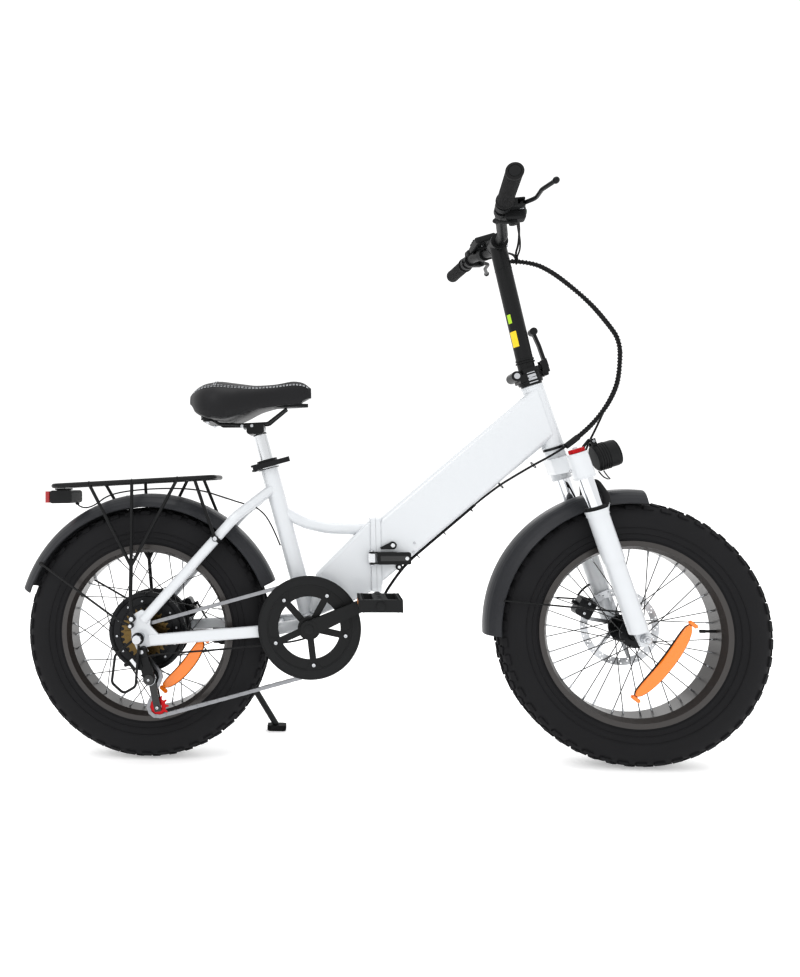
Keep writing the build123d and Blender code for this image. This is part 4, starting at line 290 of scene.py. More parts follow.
# ---- shapes ---------------------------------------------------------------------------------------
class Shape:
    """Gathers meshes of several materials into one piece."""

    def __init__(self):
        self.verts, self.faces, self.marks, self.names = [], [], [], []

    def put(self, verts, faces, material):
        if material not in self.names:
            self.names.append(material)
        start = len(self.verts)
        self.verts += [Vector(v) for v in verts]
        self.faces += [[i + start for i in face] for face in faces]
        self.marks += [self.names.index(material)] * len(faces)

    def turn(self, profile, base, axis, material, steps=32):
        """Turns (radius, height) points in mm about an axis from a base point."""
        axis = Vector(axis).normalized()
        side = axis.orthogonal().normalized()
        other = axis.cross(side)
        verts, faces = [], []
        for r, h in profile:
            for k in range(steps):
                a = 2 * math.pi * k / steps
                ring = side * (math.cos(a) * r / 1000) + other * (math.sin(a) * r / 1000)
                verts.append(base + axis * (h / 1000) + ring)
        for j in range(len(profile) - 1):
            for k in range(steps):
                n = (k + 1) % steps
                faces.append([j * steps + k, j * steps + n, (j + 1) * steps + n, (j + 1) * steps + k])
        self.put(verts, faces, material)

    def band(self, base, axis, inner, outer, edge, tall, material, steps):
        """A raised ring with chamfered edges round a tube."""
        self.turn([(inner, 0), (outer, edge), (outer, tall - edge), (inner, tall)], base, axis, material,
                  steps)

    def rod(self, p, q, r, material, steps=20, edge=0.4):
        """A round bar with softened ends."""
        length_mm = (q - p).length * 1000
        e = min(edge, r * 0.4, length_mm * 0.3)
        profile = [(0, 0), (r - e, 0), (r, e), (r, length_mm - e), (r - e, length_mm), (0, length_mm)]
        self.turn(profile, p, q - p, material, steps)

    def ring(self, centre, axis, r, wire, material, steps=48, sides=10):
        """A torus."""
        profile = []
        for k in range(sides + 1):
            a = 2 * math.pi * k / sides
            profile.append((r + wire * math.cos(a), wire * math.sin(a)))
        self.turn(profile, centre, axis, material, steps)

    def hexagon(self, centre, axis, across, height, material):
        """A hexagonal nut or bolt head with a chamfered top."""
        r = across / 2 / math.cos(math.radians(30))
        self.turn([(0, 0), (r, 0), (r, height * 0.85), (r * 0.88, height), (0, height)], centre, axis,
                  material, 6)

    def bolt(self, centre, axis, r, material="zinc_plate"):
        """A socket-head bolt seen from its head."""
        self.turn([(0, 0), (r, 0), (r, r * 0.8), (r * 0.85, r), (r * 0.5, r), (r * 0.45, r * 0.4),
                   (0, r * 0.4)],
                  centre, axis, material, 18)

    def block(self, centre, size, material, turn=None, edge=1.0):
        """A box in mm with softened edges, turned by a rotation matrix."""
        bm = bmesh.new()
        bmesh.ops.create_cube(bm, size=1.0)
        for v in bm.verts:
            v.co = Vector((v.co.x * size[0], v.co.y * size[1], v.co.z * size[2])) / 1000
        if edge:
            bmesh.ops.bevel(bm, geom=bm.edges[:], offset=min(edge, min(size) * 0.35) / 1000, segments=2,
                            affect="EDGES")
        rotation = turn if turn is not None else Matrix.Identity(3)
        bm.verts.index_update()
        verts = [centre + rotation @ v.co for v in bm.verts]
        faces = [[v.index for v in f.verts] for f in bm.faces]
        bm.free()
        self.put(verts, faces, material)

    def wire(self, points, r, material, sides=10, closed=False):
        """A round wire through the points; r in mm may be one number or one for each point."""
        count = len(points)
        radii = r if isinstance(r, (list, tuple)) else [r] * count
        verts, faces = [], []
        up = None
        for i, p in enumerate(points):
            before = points[(i - 1) % count] if closed or i else p
            after = points[(i + 1) % count] if closed or i < count - 1 else p
            along = (after - before).normalized()
            if up is None:
                up = along.orthogonal().normalized()
            up = (up - along * up.dot(along)).normalized()
            side = along.cross(up)
            for k in range(sides):
                a = 2 * math.pi * k / sides
                verts.append(p + (up * math.cos(a) + side * math.sin(a)) * (radii[i] / 1000))
        for i in range(count if closed else count - 1):
            j = (i + 1) % count
            for k in range(sides):
                n = (k + 1) % sides
                faces.append([i * sides + k, i * sides + n, j * sides + n, j * sides + k])
        if not closed:
            faces.append(list(reversed(range(sides))))
            faces.append([(count - 1) * sides + k for k in range(sides)])
        self.put(verts, faces, material)

    def finish(self, name, body, crease=38.0):
        """Makes the piece and lets it ride on its body."""
        mesh = bpy.data.meshes.new(name)
        mesh.from_pydata([tuple(v) for v in self.verts], [], self.faces)
        for material in self.names:
            mesh.materials.append(MATERIALS[material])
        for polygon, mark in zip(mesh.polygons, self.marks):
            polygon.material_index = mark
        bm = bmesh.new()
        bm.from_mesh(mesh)
        bmesh.ops.remove_doubles(bm, verts=bm.verts[:], dist=MERGE)
        bmesh.ops.dissolve_degenerate(bm, edges=bm.edges[:], dist=MERGE)
        bmesh.ops.recalc_face_normals(bm, faces=bm.faces[:])
        bm.to_mesh(mesh)
        bm.free()
        mesh.shade_smooth()
        mesh.set_sharp_from_angle(angle=math.radians(crease))
        piece = bpy.data.objects.new(name, mesh)
        bpy.context.scene.collection.objects.link(piece)
        if body:
            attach(piece, body)
        return piece


def cable(name, points, r, body):
    """A smooth cable: a NURBS curve whose control points are the route's corners."""
    curve = bpy.data.curves.new(name, "CURVE")
    curve.dimensions = "3D"
    curve.bevel_depth = r / 1000
    curve.bevel_resolution = 4
    curve.resolution_u = 10
    curve.use_fill_caps = True
    spline = curve.splines.new("NURBS")
    spline.points.add(len(points) - 1)
    for point, place in zip(spline.points, points):
        point.co = tuple(place) + (1.0,)
    spline.order_u = 3
    spline.use_endpoint_u = True
    curve.materials.append(MATERIALS["soft_rubber"])
    piece = bpy.data.objects.new(name, curve)
    bpy.context.scene.collection.objects.link(piece)
    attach(piece, body)
    return piece


def route(points):
    """The smooth line through a route's control points, as the cables follow it."""
    curve = bpy.data.curves.new("route", "CURVE")
    curve.dimensions = "3D"
    curve.resolution_u = 14
    spline = curve.splines.new("NURBS")
    spline.points.add(len(points) - 1)
    for point, place in zip(spline.points, points):
        point.co = tuple(place) + (1.0,)
    spline.order_u = 3
    spline.use_endpoint_u = True
    holder = bpy.data.objects.new("route", curve)
    mesh = bpy.data.meshes.new_from_object(holder)
    line = [v.co.copy() for v in mesh.vertices]
    bpy.data.objects.remove(holder)
    bpy.data.meshes.remove(mesh)
    bpy.data.curves.remove(curve)
    return line


def dress(node, material, *rules):
    """Gives a CAD node its material; each rule is (material, test) on a face's middle in mm."""
    piece = frame["nodes"][node]
    piece.data.materials.clear()
    piece.data.materials.append(MATERIALS[material])
    for name, _ in rules:
        piece.data.materials.append(MATERIALS[name])
    if rules:
        for polygon in piece.data.polygons:
            x, y, z = millimetres(polygon.center)
            for i, (_, test) in enumerate(rules):
                if test(x, y, z):
                    polygon.material_index = i + 1
                    break


# ---- the CAD pieces' finishes ---------------------------------------------------------------------
def dress_frame():
    for node in ("rear_frame", "front_frame"):
        dress(node, "white_enamel")
    dress("frame_hinge_pin", "zinc_plate", ("machined_alloy", lambda x, y, z: y < 0))
    dress("motor_controller", "machined_alloy")
    dress("battery_pack", "black_nylon")
    dress("bottom_bracket", "zinc_plate")
    dress("headset", "black_anodised_alloy")
    dress("frame_latch_lever", "black_powder_coat")
    dress("safety_catch", "black_powder_coat")
    dress("seat_clamp", "black_anodised_alloy")
    dress("seat_clamp_lever", "black_anodised_alloy")
    dress("seatpost", "machined_alloy")
    dress("kickstand_bracket", "black_powder_coat")
    dress("kickstand_leg", "black_powder_coat", ("soft_rubber", lambda x, y, z: z < 14.5))
    dress("rack", "black_powder_coat")
    dress("tail_light", "black_nylon", ("red_acrylic", lambda x, y, z: x < -242.05))
    dress("rear_fender", "grey_abs", ("black_powder_coat", lambda x, y, z: abs(y) > 56.6))
    dress("front_fender", "grey_abs", ("black_powder_coat", lambda x, y, z: abs(y) > 56.6))


def dress_fork():
    def wipers(x, y, z):
        up = -(x - HEAD_LOW[0]) * math.sin(HEAD_TILT) + (z - HEAD_LOW[1]) * math.cos(HEAD_TILT)
        return up > -157.05

    def bracket(x, y, z):
        ahead = (x - HEAD_LOW[0]) * math.cos(HEAD_TILT) + (z - HEAD_LOW[1]) * math.sin(HEAD_TILT)
        return ahead > LEG_FORWARD + 27 and abs(y) < 40

    dress("fork_crown", "white_enamel", ("black_powder_coat", bracket))
    dress("stanchions", "hard_chrome")
    dress("fork_lowers", "white_enamel", ("soft_rubber", wipers))
    dress("lockout_knob", "red_anodised_alloy")
    dress("headlight", "black_nylon")
    dress("front_axle", "zinc_plate")
    dress("front_caliper", "black_anodised_alloy")
    dress("rear_caliper", "black_anodised_alloy")


def dress_wheels():
    def rotor(low, high):
        return lambda x, y, z: low <= y <= high

    def is_spoke(axle, flange):
        return lambda x, y, z: math.hypot(x - axle[0], z - axle[1]) > flange and abs(y) < 45

    dress("front_rim", "rim_paint")
    dress("rear_rim", "rim_paint")
    dress("front_hub", "black_anodised_alloy", ("ground_stainless", rotor(49.95, 52.05)),
          ("black_gloss_paint", is_spoke(FRONT_AXLE, 34)))
    dress("hub_motor", "black_anodised_alloy", ("ground_stainless", rotor(61.95, 64.05)),
          ("black_gloss_paint", is_spoke(REAR_AXLE, 97)))
    dress("freewheel", "bronzed_sprocket_steel")
    dress("rear_axle", "zinc_plate",
          ("copper_winding", lambda x, y, z: 50 < math.hypot(x, z - 300) < 76 and abs(y) < 40))


def dress_drive():
    dress("crank_right", "black_powder_coat", ("zinc_plate", lambda x, y, z: y < -110.5))
    dress("crank_left", "black_powder_coat", ("zinc_plate", lambda x, y, z: abs(y) < 86.5 or y > 108.5))
    dress("chainring", "black_gloss_paint", ("black_nylon", lambda x, y, z: y < -83.4))
    dress("chain", "oiled_chain_steel")
    angle = math.radians(CRANK_ANGLE)
    right = (CRANK_AXLE[0] + CRANK_LENGTH * math.cos(angle), CRANK_AXLE[1] + CRANK_LENGTH * math.sin(angle))
    left = (2 * CRANK_AXLE[0] - right[0], 2 * CRANK_AXLE[1] - right[1])
    for node, centre in (("pedal_right", right), ("pedal_left", left)):
        def amber(x, y, z, centre=centre):
            return 41 < abs(x - centre[0]) < 45.6 and abs(z - centre[1]) < 6.45 and 136 < abs(y) < 184

        dress(node, "black_nylon", ("amber_acrylic", amber))
    dress("derailleur_body", "black_powder_coat")
    dress("derailleur_cage", "black_gloss_paint")
    dress("upper_pulley", "black_nylon")
    dress("lower_pulley", "red_anodised_alloy")


def dress_front():
    dress("stem_base", "black_powder_coat", ("zinc_plate", lambda x, y, z: abs(y) > 26.2))
    dress("handlepost", "black_powder_coat")
    dress("stem_latch_lever", "black_powder_coat")
    dress("handlebar", "black_powder_coat")
    dress("bar_controls", "black_nylon")
    dress("brake_lever_right", "black_anodised_alloy")
    dress("brake_lever_left", "black_anodised_alloy")
    dress("shift_lever", "black_nylon")
    dress("saddle_rails", "black_powder_coat")
    dress("saddle_base", "black_nylon")


# ---- wheels ---------------------------------------------------------------------------------------
def tyre(name, body, axle, node, height, rows):
    """The carcass with its bead lines and three rows of knobs each side of the middle."""
    shape = Shape()
    crown = WHEEL_R - height
    half = [(203, 36.8), (214, 36.9), (216, 38.6), (218.5, 39.2), (221, 39.6), (232, 45.2), (243, 48.0),
            (252, 48.9),
            (262, 48.8), (272, 47.2), (281, 43.4), (288, 37.5), (crown - 2.4, 29.5), (crown - 0.8,
                                                                                      20), (crown, 9)]
    profile = half + [(r, -y) for r, y in reversed(half)]
    shape.turn(profile, on(axle, 0), LEFT, "tyre_rubber", 144)
    for side in (1, -1):
        for r, y in ((226, 42.6), (240, 47.9)):
            shape.ring(on(axle, side * y), LEFT, r, 0.8, "tyre_rubber", 144, 6)
    step = 360 / rows
    lots = ((9.5, 0.0, 13, 21, 0.0, height, 0), (26, 0.5, 13, 19, 24.0, height * 0.95, 14),
            (39.5, 0.0, 11, 23, 54.0, height, 0))
    for i in range(rows):
        for side in (1, -1):
            for y, shift, wide, long, lean, proud, twist in lots:
                a = math.radians(step * (i + shift + (0.5 if side < 0 else 0.0)))
                out = Vector((math.cos(a), 0, math.sin(a)))
                tangent = Vector((-math.sin(a), 0, math.cos(a)))
                tilt = math.radians(lean) * side
                normal = out * math.cos(tilt) + Vector((0, 1, 0)) * math.sin(tilt)
                across = normal.cross(tangent)
                if lean > 40:
                    r0 = 285.0
                elif lean > 0:
                    r0 = crown - 2.2
                else:
                    r0 = crown - 0.4
                spin = math.radians(twist) * side
                along = tangent * math.cos(spin) + across * math.sin(spin)
                square = normal.cross(along)
                turn = Matrix((along, square, normal)).transposed()
                base = on(axle, side * y) + out * (r0 / 1000)
                shape.block(base + normal * (proud / 2000 - 0.0009), (long, wide, proud), "tyre_rubber",
                            turn, 1.0)
    piece = shape.finish(name, body, crease=30)
    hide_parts(node)


def wheel_trim(name, body, axle, flange_r, flange_y):
    """Nipples, spoke heads and the valve."""
    shape = Shape()
    for i in range(36):
        side = 1 if i % 2 == 0 else -1
        outer = (i // 2) % 2 == 0
        angle = 10.0 * i + 5.0
        y_rim = side * (13.0 if outer else 6.0)
        lean = 36.0 if outer else -36.0
        hub = around(axle, flange_r, angle + lean, side * (flange_y + (3.6 if outer else -3.6)))
        end = around(axle, 190.5, angle, y_rim)
        along = (hub - end).normalized()
        shape.rod(end, end + along * 0.012, 2.1, "zinc_plate", 10)
        shape.rod(end + along * 0.012, end + along * 0.0145, 1.6, "zinc_plate", 10)
        head = hub + (hub - end).normalized() * 0.001
        shape.rod(head, head + Vector((0, side * (1 if outer else -1) * 0.0012, 0)), 2.2,
                  "black_gloss_paint", 10)
    valve = around(axle, 190, 0.0, 0)
    inward = (on(axle, 0) - valve).normalized()
    shape.rod(valve, valve + inward * 0.022, 3.2, "soft_rubber", 14)
    shape.rod(valve + inward * 0.022, valve + inward * 0.034, 3.9, "black_nylon", 14)
    shape.finish(name, body)


def spoke_reflector(name, body, axle, first, last, y):
    """A long leaf-shaped reflector that follows a chord between two spokes, with its two clips."""
    shape = Shape()
    a = Vector((first[0], 0, first[1]))
    b = Vector((last[0], 0, last[1]))
    middle = (a + b) / 2
    along = (b - a).normalized()
    out = Vector((along.z, 0, -along.x))
    if out.dot(middle - Vector((axle[0], 0, axle[1]))) < 0:
        out = -out
    half = (b - a).length / 2
    count = 24
    for layer, material, grow in ((-1.6, "orange_acrylic", 0.0), (1.2, "black_nylon", 1.6)):
        verts, faces = [], []
        for k in range(count + 1):
            t = -1 + 2 * k / count
            bow = 10.0 * (1 - t * t)
            width = (10.5 + grow) * (1 - abs(t) ** 3) ** 0.5 + 3.0
            centre = middle + along * (t * (half - 6 + grow)) + out * (bow - 4)
            for off, depth in ((-width, 0), (-width + 1.5, 1), (width - 1.5, 1), (width, 0), (width, -1),
                               (-width, -1)):
                p = centre + out * off
                thick = {1: -2.6, 0: -1.0, -1: 2.0}[depth]
                verts.append(at(p.x, y + layer + thick, p.z))
        for k in range(count):
            for j in range(6):
                n = (j + 1) % 6
                faces.append([k * 6 + j, k * 6 + n, (k + 1) * 6 + n, (k + 1) * 6 + j])
        faces.append(list(range(6)))
        faces.append([count * 6 + j for j in reversed(range(6))])
        shape.put(verts, faces, material)
    for end in (a, b):
        shape.block(at(end.x, y + 2, end.z), (9, 9, 22), "orange_acrylic",
                    Matrix((along, Vector((0, 1, 0)), along.cross(Vector((0, 1, 0))))).transposed(), 2)
    shape.finish(name, body)


def hub_trim():
    """Cover bolts of the motor, hub ribs, rotor bolts and the axle nuts' hexagons."""
    shape = Shape()
    for k in range(12):
        shape.bolt(around(REAR_AXLE, 74, 30 * k + 8, -36.2), RIGHT, 3.0)
        shape.bolt(around(REAR_AXLE, 74, 30 * k + 8, 42.2), LEFT, 3.0)
    for r in (86.2, 66, 44):
        shape.ring(at(0, -36.4 if r > 60 else -31.4 - (60 - r) * 0.1, 300), LEFT, r, 0.9,
                   "black_anodised_alloy")
    for k in range(6):
        shape.bolt(around(REAR_AXLE, 22, 60 * k, 64.0), LEFT, 3.6)
    shape.finish("motor_cover_bolts", "rear_wheel")
    shape = Shape()
    for k in range(6):
        shape.bolt(around(FRONT_AXLE, 22, 60 * k, 52.0), LEFT, 3.6)
    for y in (-20, -8, 8, 20):
        shape.ring(on(FRONT_AXLE, y), LEFT, 14.2, 0.8, "black_anodised_alloy")
    shape.finish("front_hub_ribs", "front_wheel")
    shape = Shape()
    for side in (1, -1):
        shape.hexagon(on(FRONT_AXLE, side * 97), (0, side, 0), 16, 8, "zinc_plate")
        shape.turn([(5, 0), (5, 4), (3.6, 5), (0, 5)], on(FRONT_AXLE, side * 105), (0, side, 0),
                   "zinc_plate", 18)
    shape.finish("front_axle_nuts", "lowers")
    shape = Shape()
    shape.hexagon(at(0, 106, 300), LEFT, 19, 8, "zinc_plate")
    shape.hexagon(at(0, -119.5, 300), RIGHT, 19, 10, "zinc_plate")
    shape.turn([(13, 0), (13, 2), (9, 2.5), (9, 0)], at(0, 93.7, 300), LEFT, "zinc_plate", 28)
    # The motor's wire leaves through the end of the axle.
    shape.turn([(6, 0), (6, 3), (4, 4), (0, 4)], at(0, 113.4, 300), LEFT, "soft_rubber", 18)
    shape.finish("rear_axle_nuts", "rear")


# ---- saddle ---------------------------------------------------------------------------------------
SADDLE_PLAN = [(112, 30), (118, 52), (130, 78), (150, 100), (180, 111), (205, 111), (235, 98), (262, 76),
               (290, 52),
               (318, 37), (350, 29), (380, 25), (396, 19), (403, 11), (406, 5)]
SADDLE_TOP = [(112, 872), (125, 888), (150, 900), (186, 905), (225, 899), (270, 893), (320, 897), (366, 903),
              (390, 898), (402, 888), (406, 880)]
SADDLE_EDGE = [(112, 852), (130, 828), (160, 814), (205, 808), (240, 820), (280, 836), (330, 846),
               (380, 850), (406, 862)]


def along_table(table, x):
    """Straight-line reading of a table of (x, value)."""
    if x <= table[0][0]:
        return table[0][1]
    for (x0, v0), (x1, v1) in zip(table, table[1:]):
        if x <= x1:
            t = (x - x0) / (x1 - x0)
            return v0 + (v1 - v0) * t
    return table[-1][1]


def smooth_table(table, x, span=9.0):
    """The same, eased over a short span."""
    return sum(along_table(table, x + span * k / 3) for k in range(-3, 4)) / 7


def saddle_point(x, t, proud=0.0):
    """A point on the cover: t runs from 0 at the left edge over the top to 1 at the right edge."""
    a = math.pi * t
    half = smooth_table(SADDLE_PLAN, x) + proud
    top = smooth_table(SADDLE_TOP, x) + proud
    edge = smooth_table(SADDLE_EDGE, x)
    c, s = math.cos(a), math.sin(a)
    y = half * (abs(c) ** 0.82) * (1 if c > 0 else -1)
    z = edge + (top - edge) * (s ** 0.62)
    # A shallow channel along the middle of the seat.
    channel = 5.0 * math.exp(-(y / 15.0) ** 2) * max(0.0, min(1.0, (x - 150) / 40, (350 - x) / 60))
    return at(x, y, z - channel)


def saddle_cover():
    """The padded cover: crowned over the wings, tucked under the edge of the shell."""
    verts, faces = [], []
    stations = [112 + 294 * k / 56 for k in range(57)]
    across = 40
    for x in stations:
        for k in range(across + 1):
            verts.append(saddle_point(x, k / across))
        # The cover turns under and inwards below the edge.
        for y_share, drop in ((-0.93, 4.0), (-0.84, 5.0), (0.84, 5.0), (0.93, 4.0)):
            half = smooth_table(SADDLE_PLAN, x)
            edge = smooth_table(SADDLE_EDGE, x)
            verts.append(at(x, half * y_share, edge - drop + (5 if x > 380 or x < 125 else 0)))
    row = across + 5
    for i in range(len(stations) - 1):
        for k in range(row):
            n = (k + 1) % row
            faces.append([i * row + k, i * row + n, (i + 1) * row + n, (i + 1) * row + k])
    faces.append(list(range(row)))
    faces.append([(len(stations) - 1) * row + k for k in reversed(range(row))])
    shape = Shape()
    shape.put(verts, faces, "saddle_leatherette")
    piece = shape.finish("saddle_cover_padding", "seat", crease=60)
    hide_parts("saddle_cover")


def saddle_seams(stitch):
    """Two rows of pale stitches along each side and across the back panel."""
    shape = Shape()
    pitch = stitch * 1000 + 3.0
    for t0 in (0.235, 0.262, 0.765, 0.738):
        x = 122.0
        while x < 396:
            p = saddle_point(x, t0, 0.5)
            q = saddle_point(x + stitch * 1000, t0, 0.5)
            shape.wire([p, q], 0.75, "seam_thread", 6)
            x += pitch
    for x0 in (176.0, 181.0):
        for k in range(-8, 9):
            t = 0.5 + k * 0.028
            shape.wire([saddle_point(x0, t, 0.5), saddle_point(x0, t + 0.018, 0.5)], 0.75, "seam_thread", 6)
    # The piping where the top panel meets the sides.
    for t0 in (0.248, 0.752):
        shape.wire([saddle_point(118 + 282 * k / 70, t0, -0.2) for k in range(71)], 1.3,
                   "saddle_leatherette", 8)
    shape.finish("saddle_stitching", "seat")


def saddle_springs(wire):
    """Coils with a rubber pad at each end, and the bolts under the shell."""
    shape = Shape()
    for side in (1, -1):
        base = at(158, side * 56, 811)
        points = []
        for k in range(6 * 24 + 1):
            a = 2 * math.pi * k / 24
            r = 14.5 / 1000
            points.append(base + Vector((r * math.cos(a), r * math.sin(a), 0.024 * k / (6 * 24))))
        shape.wire(points, wire * 500, "black_gloss_paint", 8)
        shape.turn([(0, 0), (16, 0), (16, 3), (10, 4), (0, 4)], at(158, side * 56, 807.5), (0, 0, 1),
                   "black_nylon", 28)
        shape.turn([(0, 0), (10, 0), (16, 1), (16, 4), (0, 4)], at(158, side * 56, 834.5), (0, 0, 1),
                   "black_nylon", 28)
        shape.bolt(at(158, side * 56, 803), (0, 0, -1), 4.5)
    for x in (238, 262):
        shape.bolt(at(x, -30, 793), RIGHT, 4.2)
        shape.hexagon(at(x, 30, 793), LEFT, 8, 4, "zinc_plate")
    shape.finish("saddle_spring_coils", "seat")


def seatpost_marks():
    """Rings where the seat post meets the saddle's clamp and the seat tube's clamp."""
    shape = Shape()
    up = (seat_line(1) - seat_line(0)).normalized()
    shape.band(seat_line(465), up, 16, 16.6, 0.5, 3.5, "black_nylon", 36)
    shape.finish("seatpost_collar", "seat")
    shape = Shape()
    shape.band(seat_line(381), up, 25.6, 26.2, 0.6, 3, "machined_alloy", 40)
    shape.band(seat_line(395), up, 25.6, 26.2, 0.6, 3, "black_anodised_alloy", 40)
    shape.finish("seat_clamp_bands", "rear")


# ---- handlebar ------------------------------------------------------------------------------------
def grips():
    """Ribbed rubber grips with a flange at the inner end and a disc at the tip."""
    shape = Shape()
    for side in (1, -1):
        tip = bar_end(side, -3.5)
        inner = bar_end(side, GRIP_LENGTH)
        along = (tip - inner).normalized()
        total = (tip - inner).length * 1000
        profile = [(BAR_R + 0.3, 0), (19, 0), (19.5, 0.8), (19.5, 3.4), (18.4, 4.6), (16.2, 6)]
        h = 8.0
        while h < total - 9:
            profile += [(16.0, h), (17.2, h + 0.8), (17.2, h + 3.0), (16.0, h + 3.8)]
            h += 5.2
        profile += [(16.4, total - 6), (17.8, total - 4.5), (17.8, total - 1), (16.8, total),
                    (12.5, total + 0.4),
                    (12.0, total - 0.8), (0, total - 0.8)]
        shape.turn(profile, inner, along, "soft_rubber", 40)
        shape.turn([(0, 0), (10.8, 0), (11.4, 0.5), (11.4, 1.2), (0, 1.6)], tip - along * 0.001, along,
                   "black_nylon", 28)
    piece = shape.finish("grip_rubber", "bars", crease=50)
    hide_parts("grips")


def bar_trim():
    """Clamp bolts, the display's glass and buttons, the signal lamp and the stem's cap."""
    shape = Shape()
    for side in (1, -1):
        for up in (-6, 6):
            shape.bolt(bar_end(side, GRIP_LENGTH + 18, 19.5, up), (1, 0, 0.1), 2.4)
        shape.rod(bar_end(side, GRIP_LENGTH + 22, 37, 10), bar_end(side, GRIP_LENGTH + 22, 37, 12), 4.2,
                  "zinc_plate")
        shape.rod(bar_end(side, GRIP_LENGTH + 22, 37, -10), bar_end(side, GRIP_LENGTH + 22, 37, -12), 4.2,
                  "zinc_plate")
        # Cable adjuster at the inner end of the lever's yoke.
        shape.rod(bar_end(side, GRIP_LENGTH + 28, 33), bar_end(side, GRIP_LENGTH + 46, 34), 4.4,
                  "black_anodised_alloy")
        for k in range(3):
            p = bar_end(side, GRIP_LENGTH + 32 + 4 * k, 33.5)
            shape.ring(p, bar_end(side, 0) - bar_end(side, 100), 4.7, 0.7, "black_anodised_alloy", 20, 6)
    tilt = Matrix.Rotation(math.radians(-14), 3, "Y")
    # The display stands on the left of the stem.
    p = Vector((BAR_AT[0] - 3, 55.0, BAR_AT[1]))
    q = Vector((BAR_AT[0] - 27, 150.0, BAR_AT[1] + 15))
    centre = p + (q - p).normalized() * 42
    case = at(centre.x - 3, centre.y, centre.z + 29)
    shape.block(case + tilt @ Vector((0, 0, 0.0083)), (42, 66, 1.2), "display_glass", tilt, 0.5)
    for k in range(3):
        shape.block(case + tilt @ Vector((-0.0215, -0.016 + 0.016 * k, 0.0083)), (5, 10, 1.6),
                    "soft_rubber", tilt, 0.7)
    shape.bolt(at(centre.x - 3, centre.y - 9, centre.z + 20), RIGHT, 3.0)
    shape.finish("display_glass_panel", "bars")
    shape = Shape()
    pod = bar_end(-1, GRIP_LENGTH + 46, 48.2, -8)
    ahead = (bar_end(-1, 0, 10) - bar_end(-1, 0)).normalized()
    shape.turn([(0, 0), (7, 0), (7, 1.5), (6, 2.2), (5, 1.4), (0, 1.4)], pod, ahead, "black_gloss_paint", 28)
    shape.turn([(0, 1.5), (3.2, 1.6), (2.4, 3.0), (0, 3.2)], pod, ahead, "green_signal", 20)
    shape.block(bar_end(-1, GRIP_LENGTH + 46, 22, 3.2), (24, 16, 1.4), "display_glass", None, 0.5)
    shape.rod(bar_end(-1, GRIP_LENGTH + 58, 34, -14), bar_end(-1, GRIP_LENGTH + 76, 36, -14), 4.0,
              "black_nylon")
    shape.finish("shifter_signal", "bars")
    shape = Shape()
    for side in (1, -1):
        shape.turn([(19.6, 0), (20.3, 0.6), (20.3, 2.4), (19.2, 3)], at(BAR_AT[0], side * 21.5, BAR_AT[1]),
                   (0, side, 0),
                   "black_anodised_alloy", 40)
    for dy in (-13, 13):
        shape.bolt(at(BAR_AT[0] + 18.5, dy, BAR_AT[1] - 9), (1, 0, -0.2), 3.4)
        shape.bolt(at(BAR_AT[0] + 18.5, dy, BAR_AT[1] + 9), (1, 0, 0.2), 3.4)
    shape.finish("stem_clamp_bolts", "bars")


def stem_trim():
    """The telescoping post's collar, its blank labels, and the ring lines above the head tube."""
    shape = Shape()
    low = steer(1, 0, STEM_PLANE + 6)
    high = at(BAR_AT[0], 0, BAR_AT[1])
    along = (high - low).normalized()
    for h, r, tall in ((24, 21.2, 5), (250, 20.2, 3), (18, 22.4, 4)):
        shape.band(low + along * (h / 1000), along, 19.4, r, 0.7, tall, "black_powder_coat", 44)
    back = along.cross(Vector((0, 1, 0))).normalized()
    if back.x > 0:
        back = -back
    side = Vector((0, -1, 0))
    for h0, h1, a0, a1, material in ((60, 98, -62, -8, "yellow_vinyl"), (118, 140, -50, -20, "lime_vinyl")):
        verts, faces = [], []
        for h in (h0, h1):
            for k in range(9):
                a = math.radians(a0 + (a1 - a0) * k / 8)
                out = back * math.cos(a) - side * math.sin(a)
                verts.append(low + along * (h / 1000) + out * 0.01972)
        for k in range(8):
            faces.append([k, k + 1, k + 10, k + 9])
        shape.put(verts, faces, material)
    shape.finish("stem_post_rings", "bars")
    shape = Shape()
    axis = (steer(0, 0, 1) - steer(0, 0, 0)).normalized()
    for up, r, tall, material in ((160.2, 29, 5, "black_anodised_alloy"), (170, 28.7, 2, "black_powder_coat"),
                                  (178, 29, 4, "black_anodised_alloy")):
        shape.band(steer(0, 0, up), axis, 27.6, r, 0.7, tall, material, 48)
    shape.bolt(steer(-6, -28, 171), RIGHT, 4.0)
    shape.bolt(steer(-6, 28, 171), LEFT, 4.0)
    shape.finish("stem_base_rings", "fork")


# ---- frame trim -----------------------------------------------------------------------------------
def beam_bottom(x):
    """The height of the beam's lower edge."""
    return 592.9 + (x - 779.1) * 0.831


def weld(shape, centre, axis, r, count):
    """A row of weld ripples round a tube."""
    axis = Vector(axis).normalized()
    side = axis.orthogonal().normalized()
    other = axis.cross(side)
    for k in range(count):
        a = 2 * math.pi * k / count
        p = centre + (side * math.cos(a) + other * math.sin(a)) * (r / 1000)
        tangent = (-side * math.sin(a) + other * math.cos(a)).normalized()
        shape.turn([(0, -1.6), (2.1, -1.0), (2.6, 0), (2.1, 1.0), (0, 1.6)], p, tangent, "white_enamel", 8)


def weld_line(shape, points, size=2.3):
    """A bead of weld ripples along a line of points."""
    for p, q in zip(points, points[1:]):
        run = (q - p).length * 1000
        number = max(1, int(run / 3.2))
        for k in range(number):
            centre = p.lerp(q, (k + 0.5) / number)
            shape.turn([(0, -1.7), (size * 0.8, -1.0), (size, 0), (size * 0.8, 1.0), (0, 1.7)], centre, q - p,
                       "white_enamel", 8)


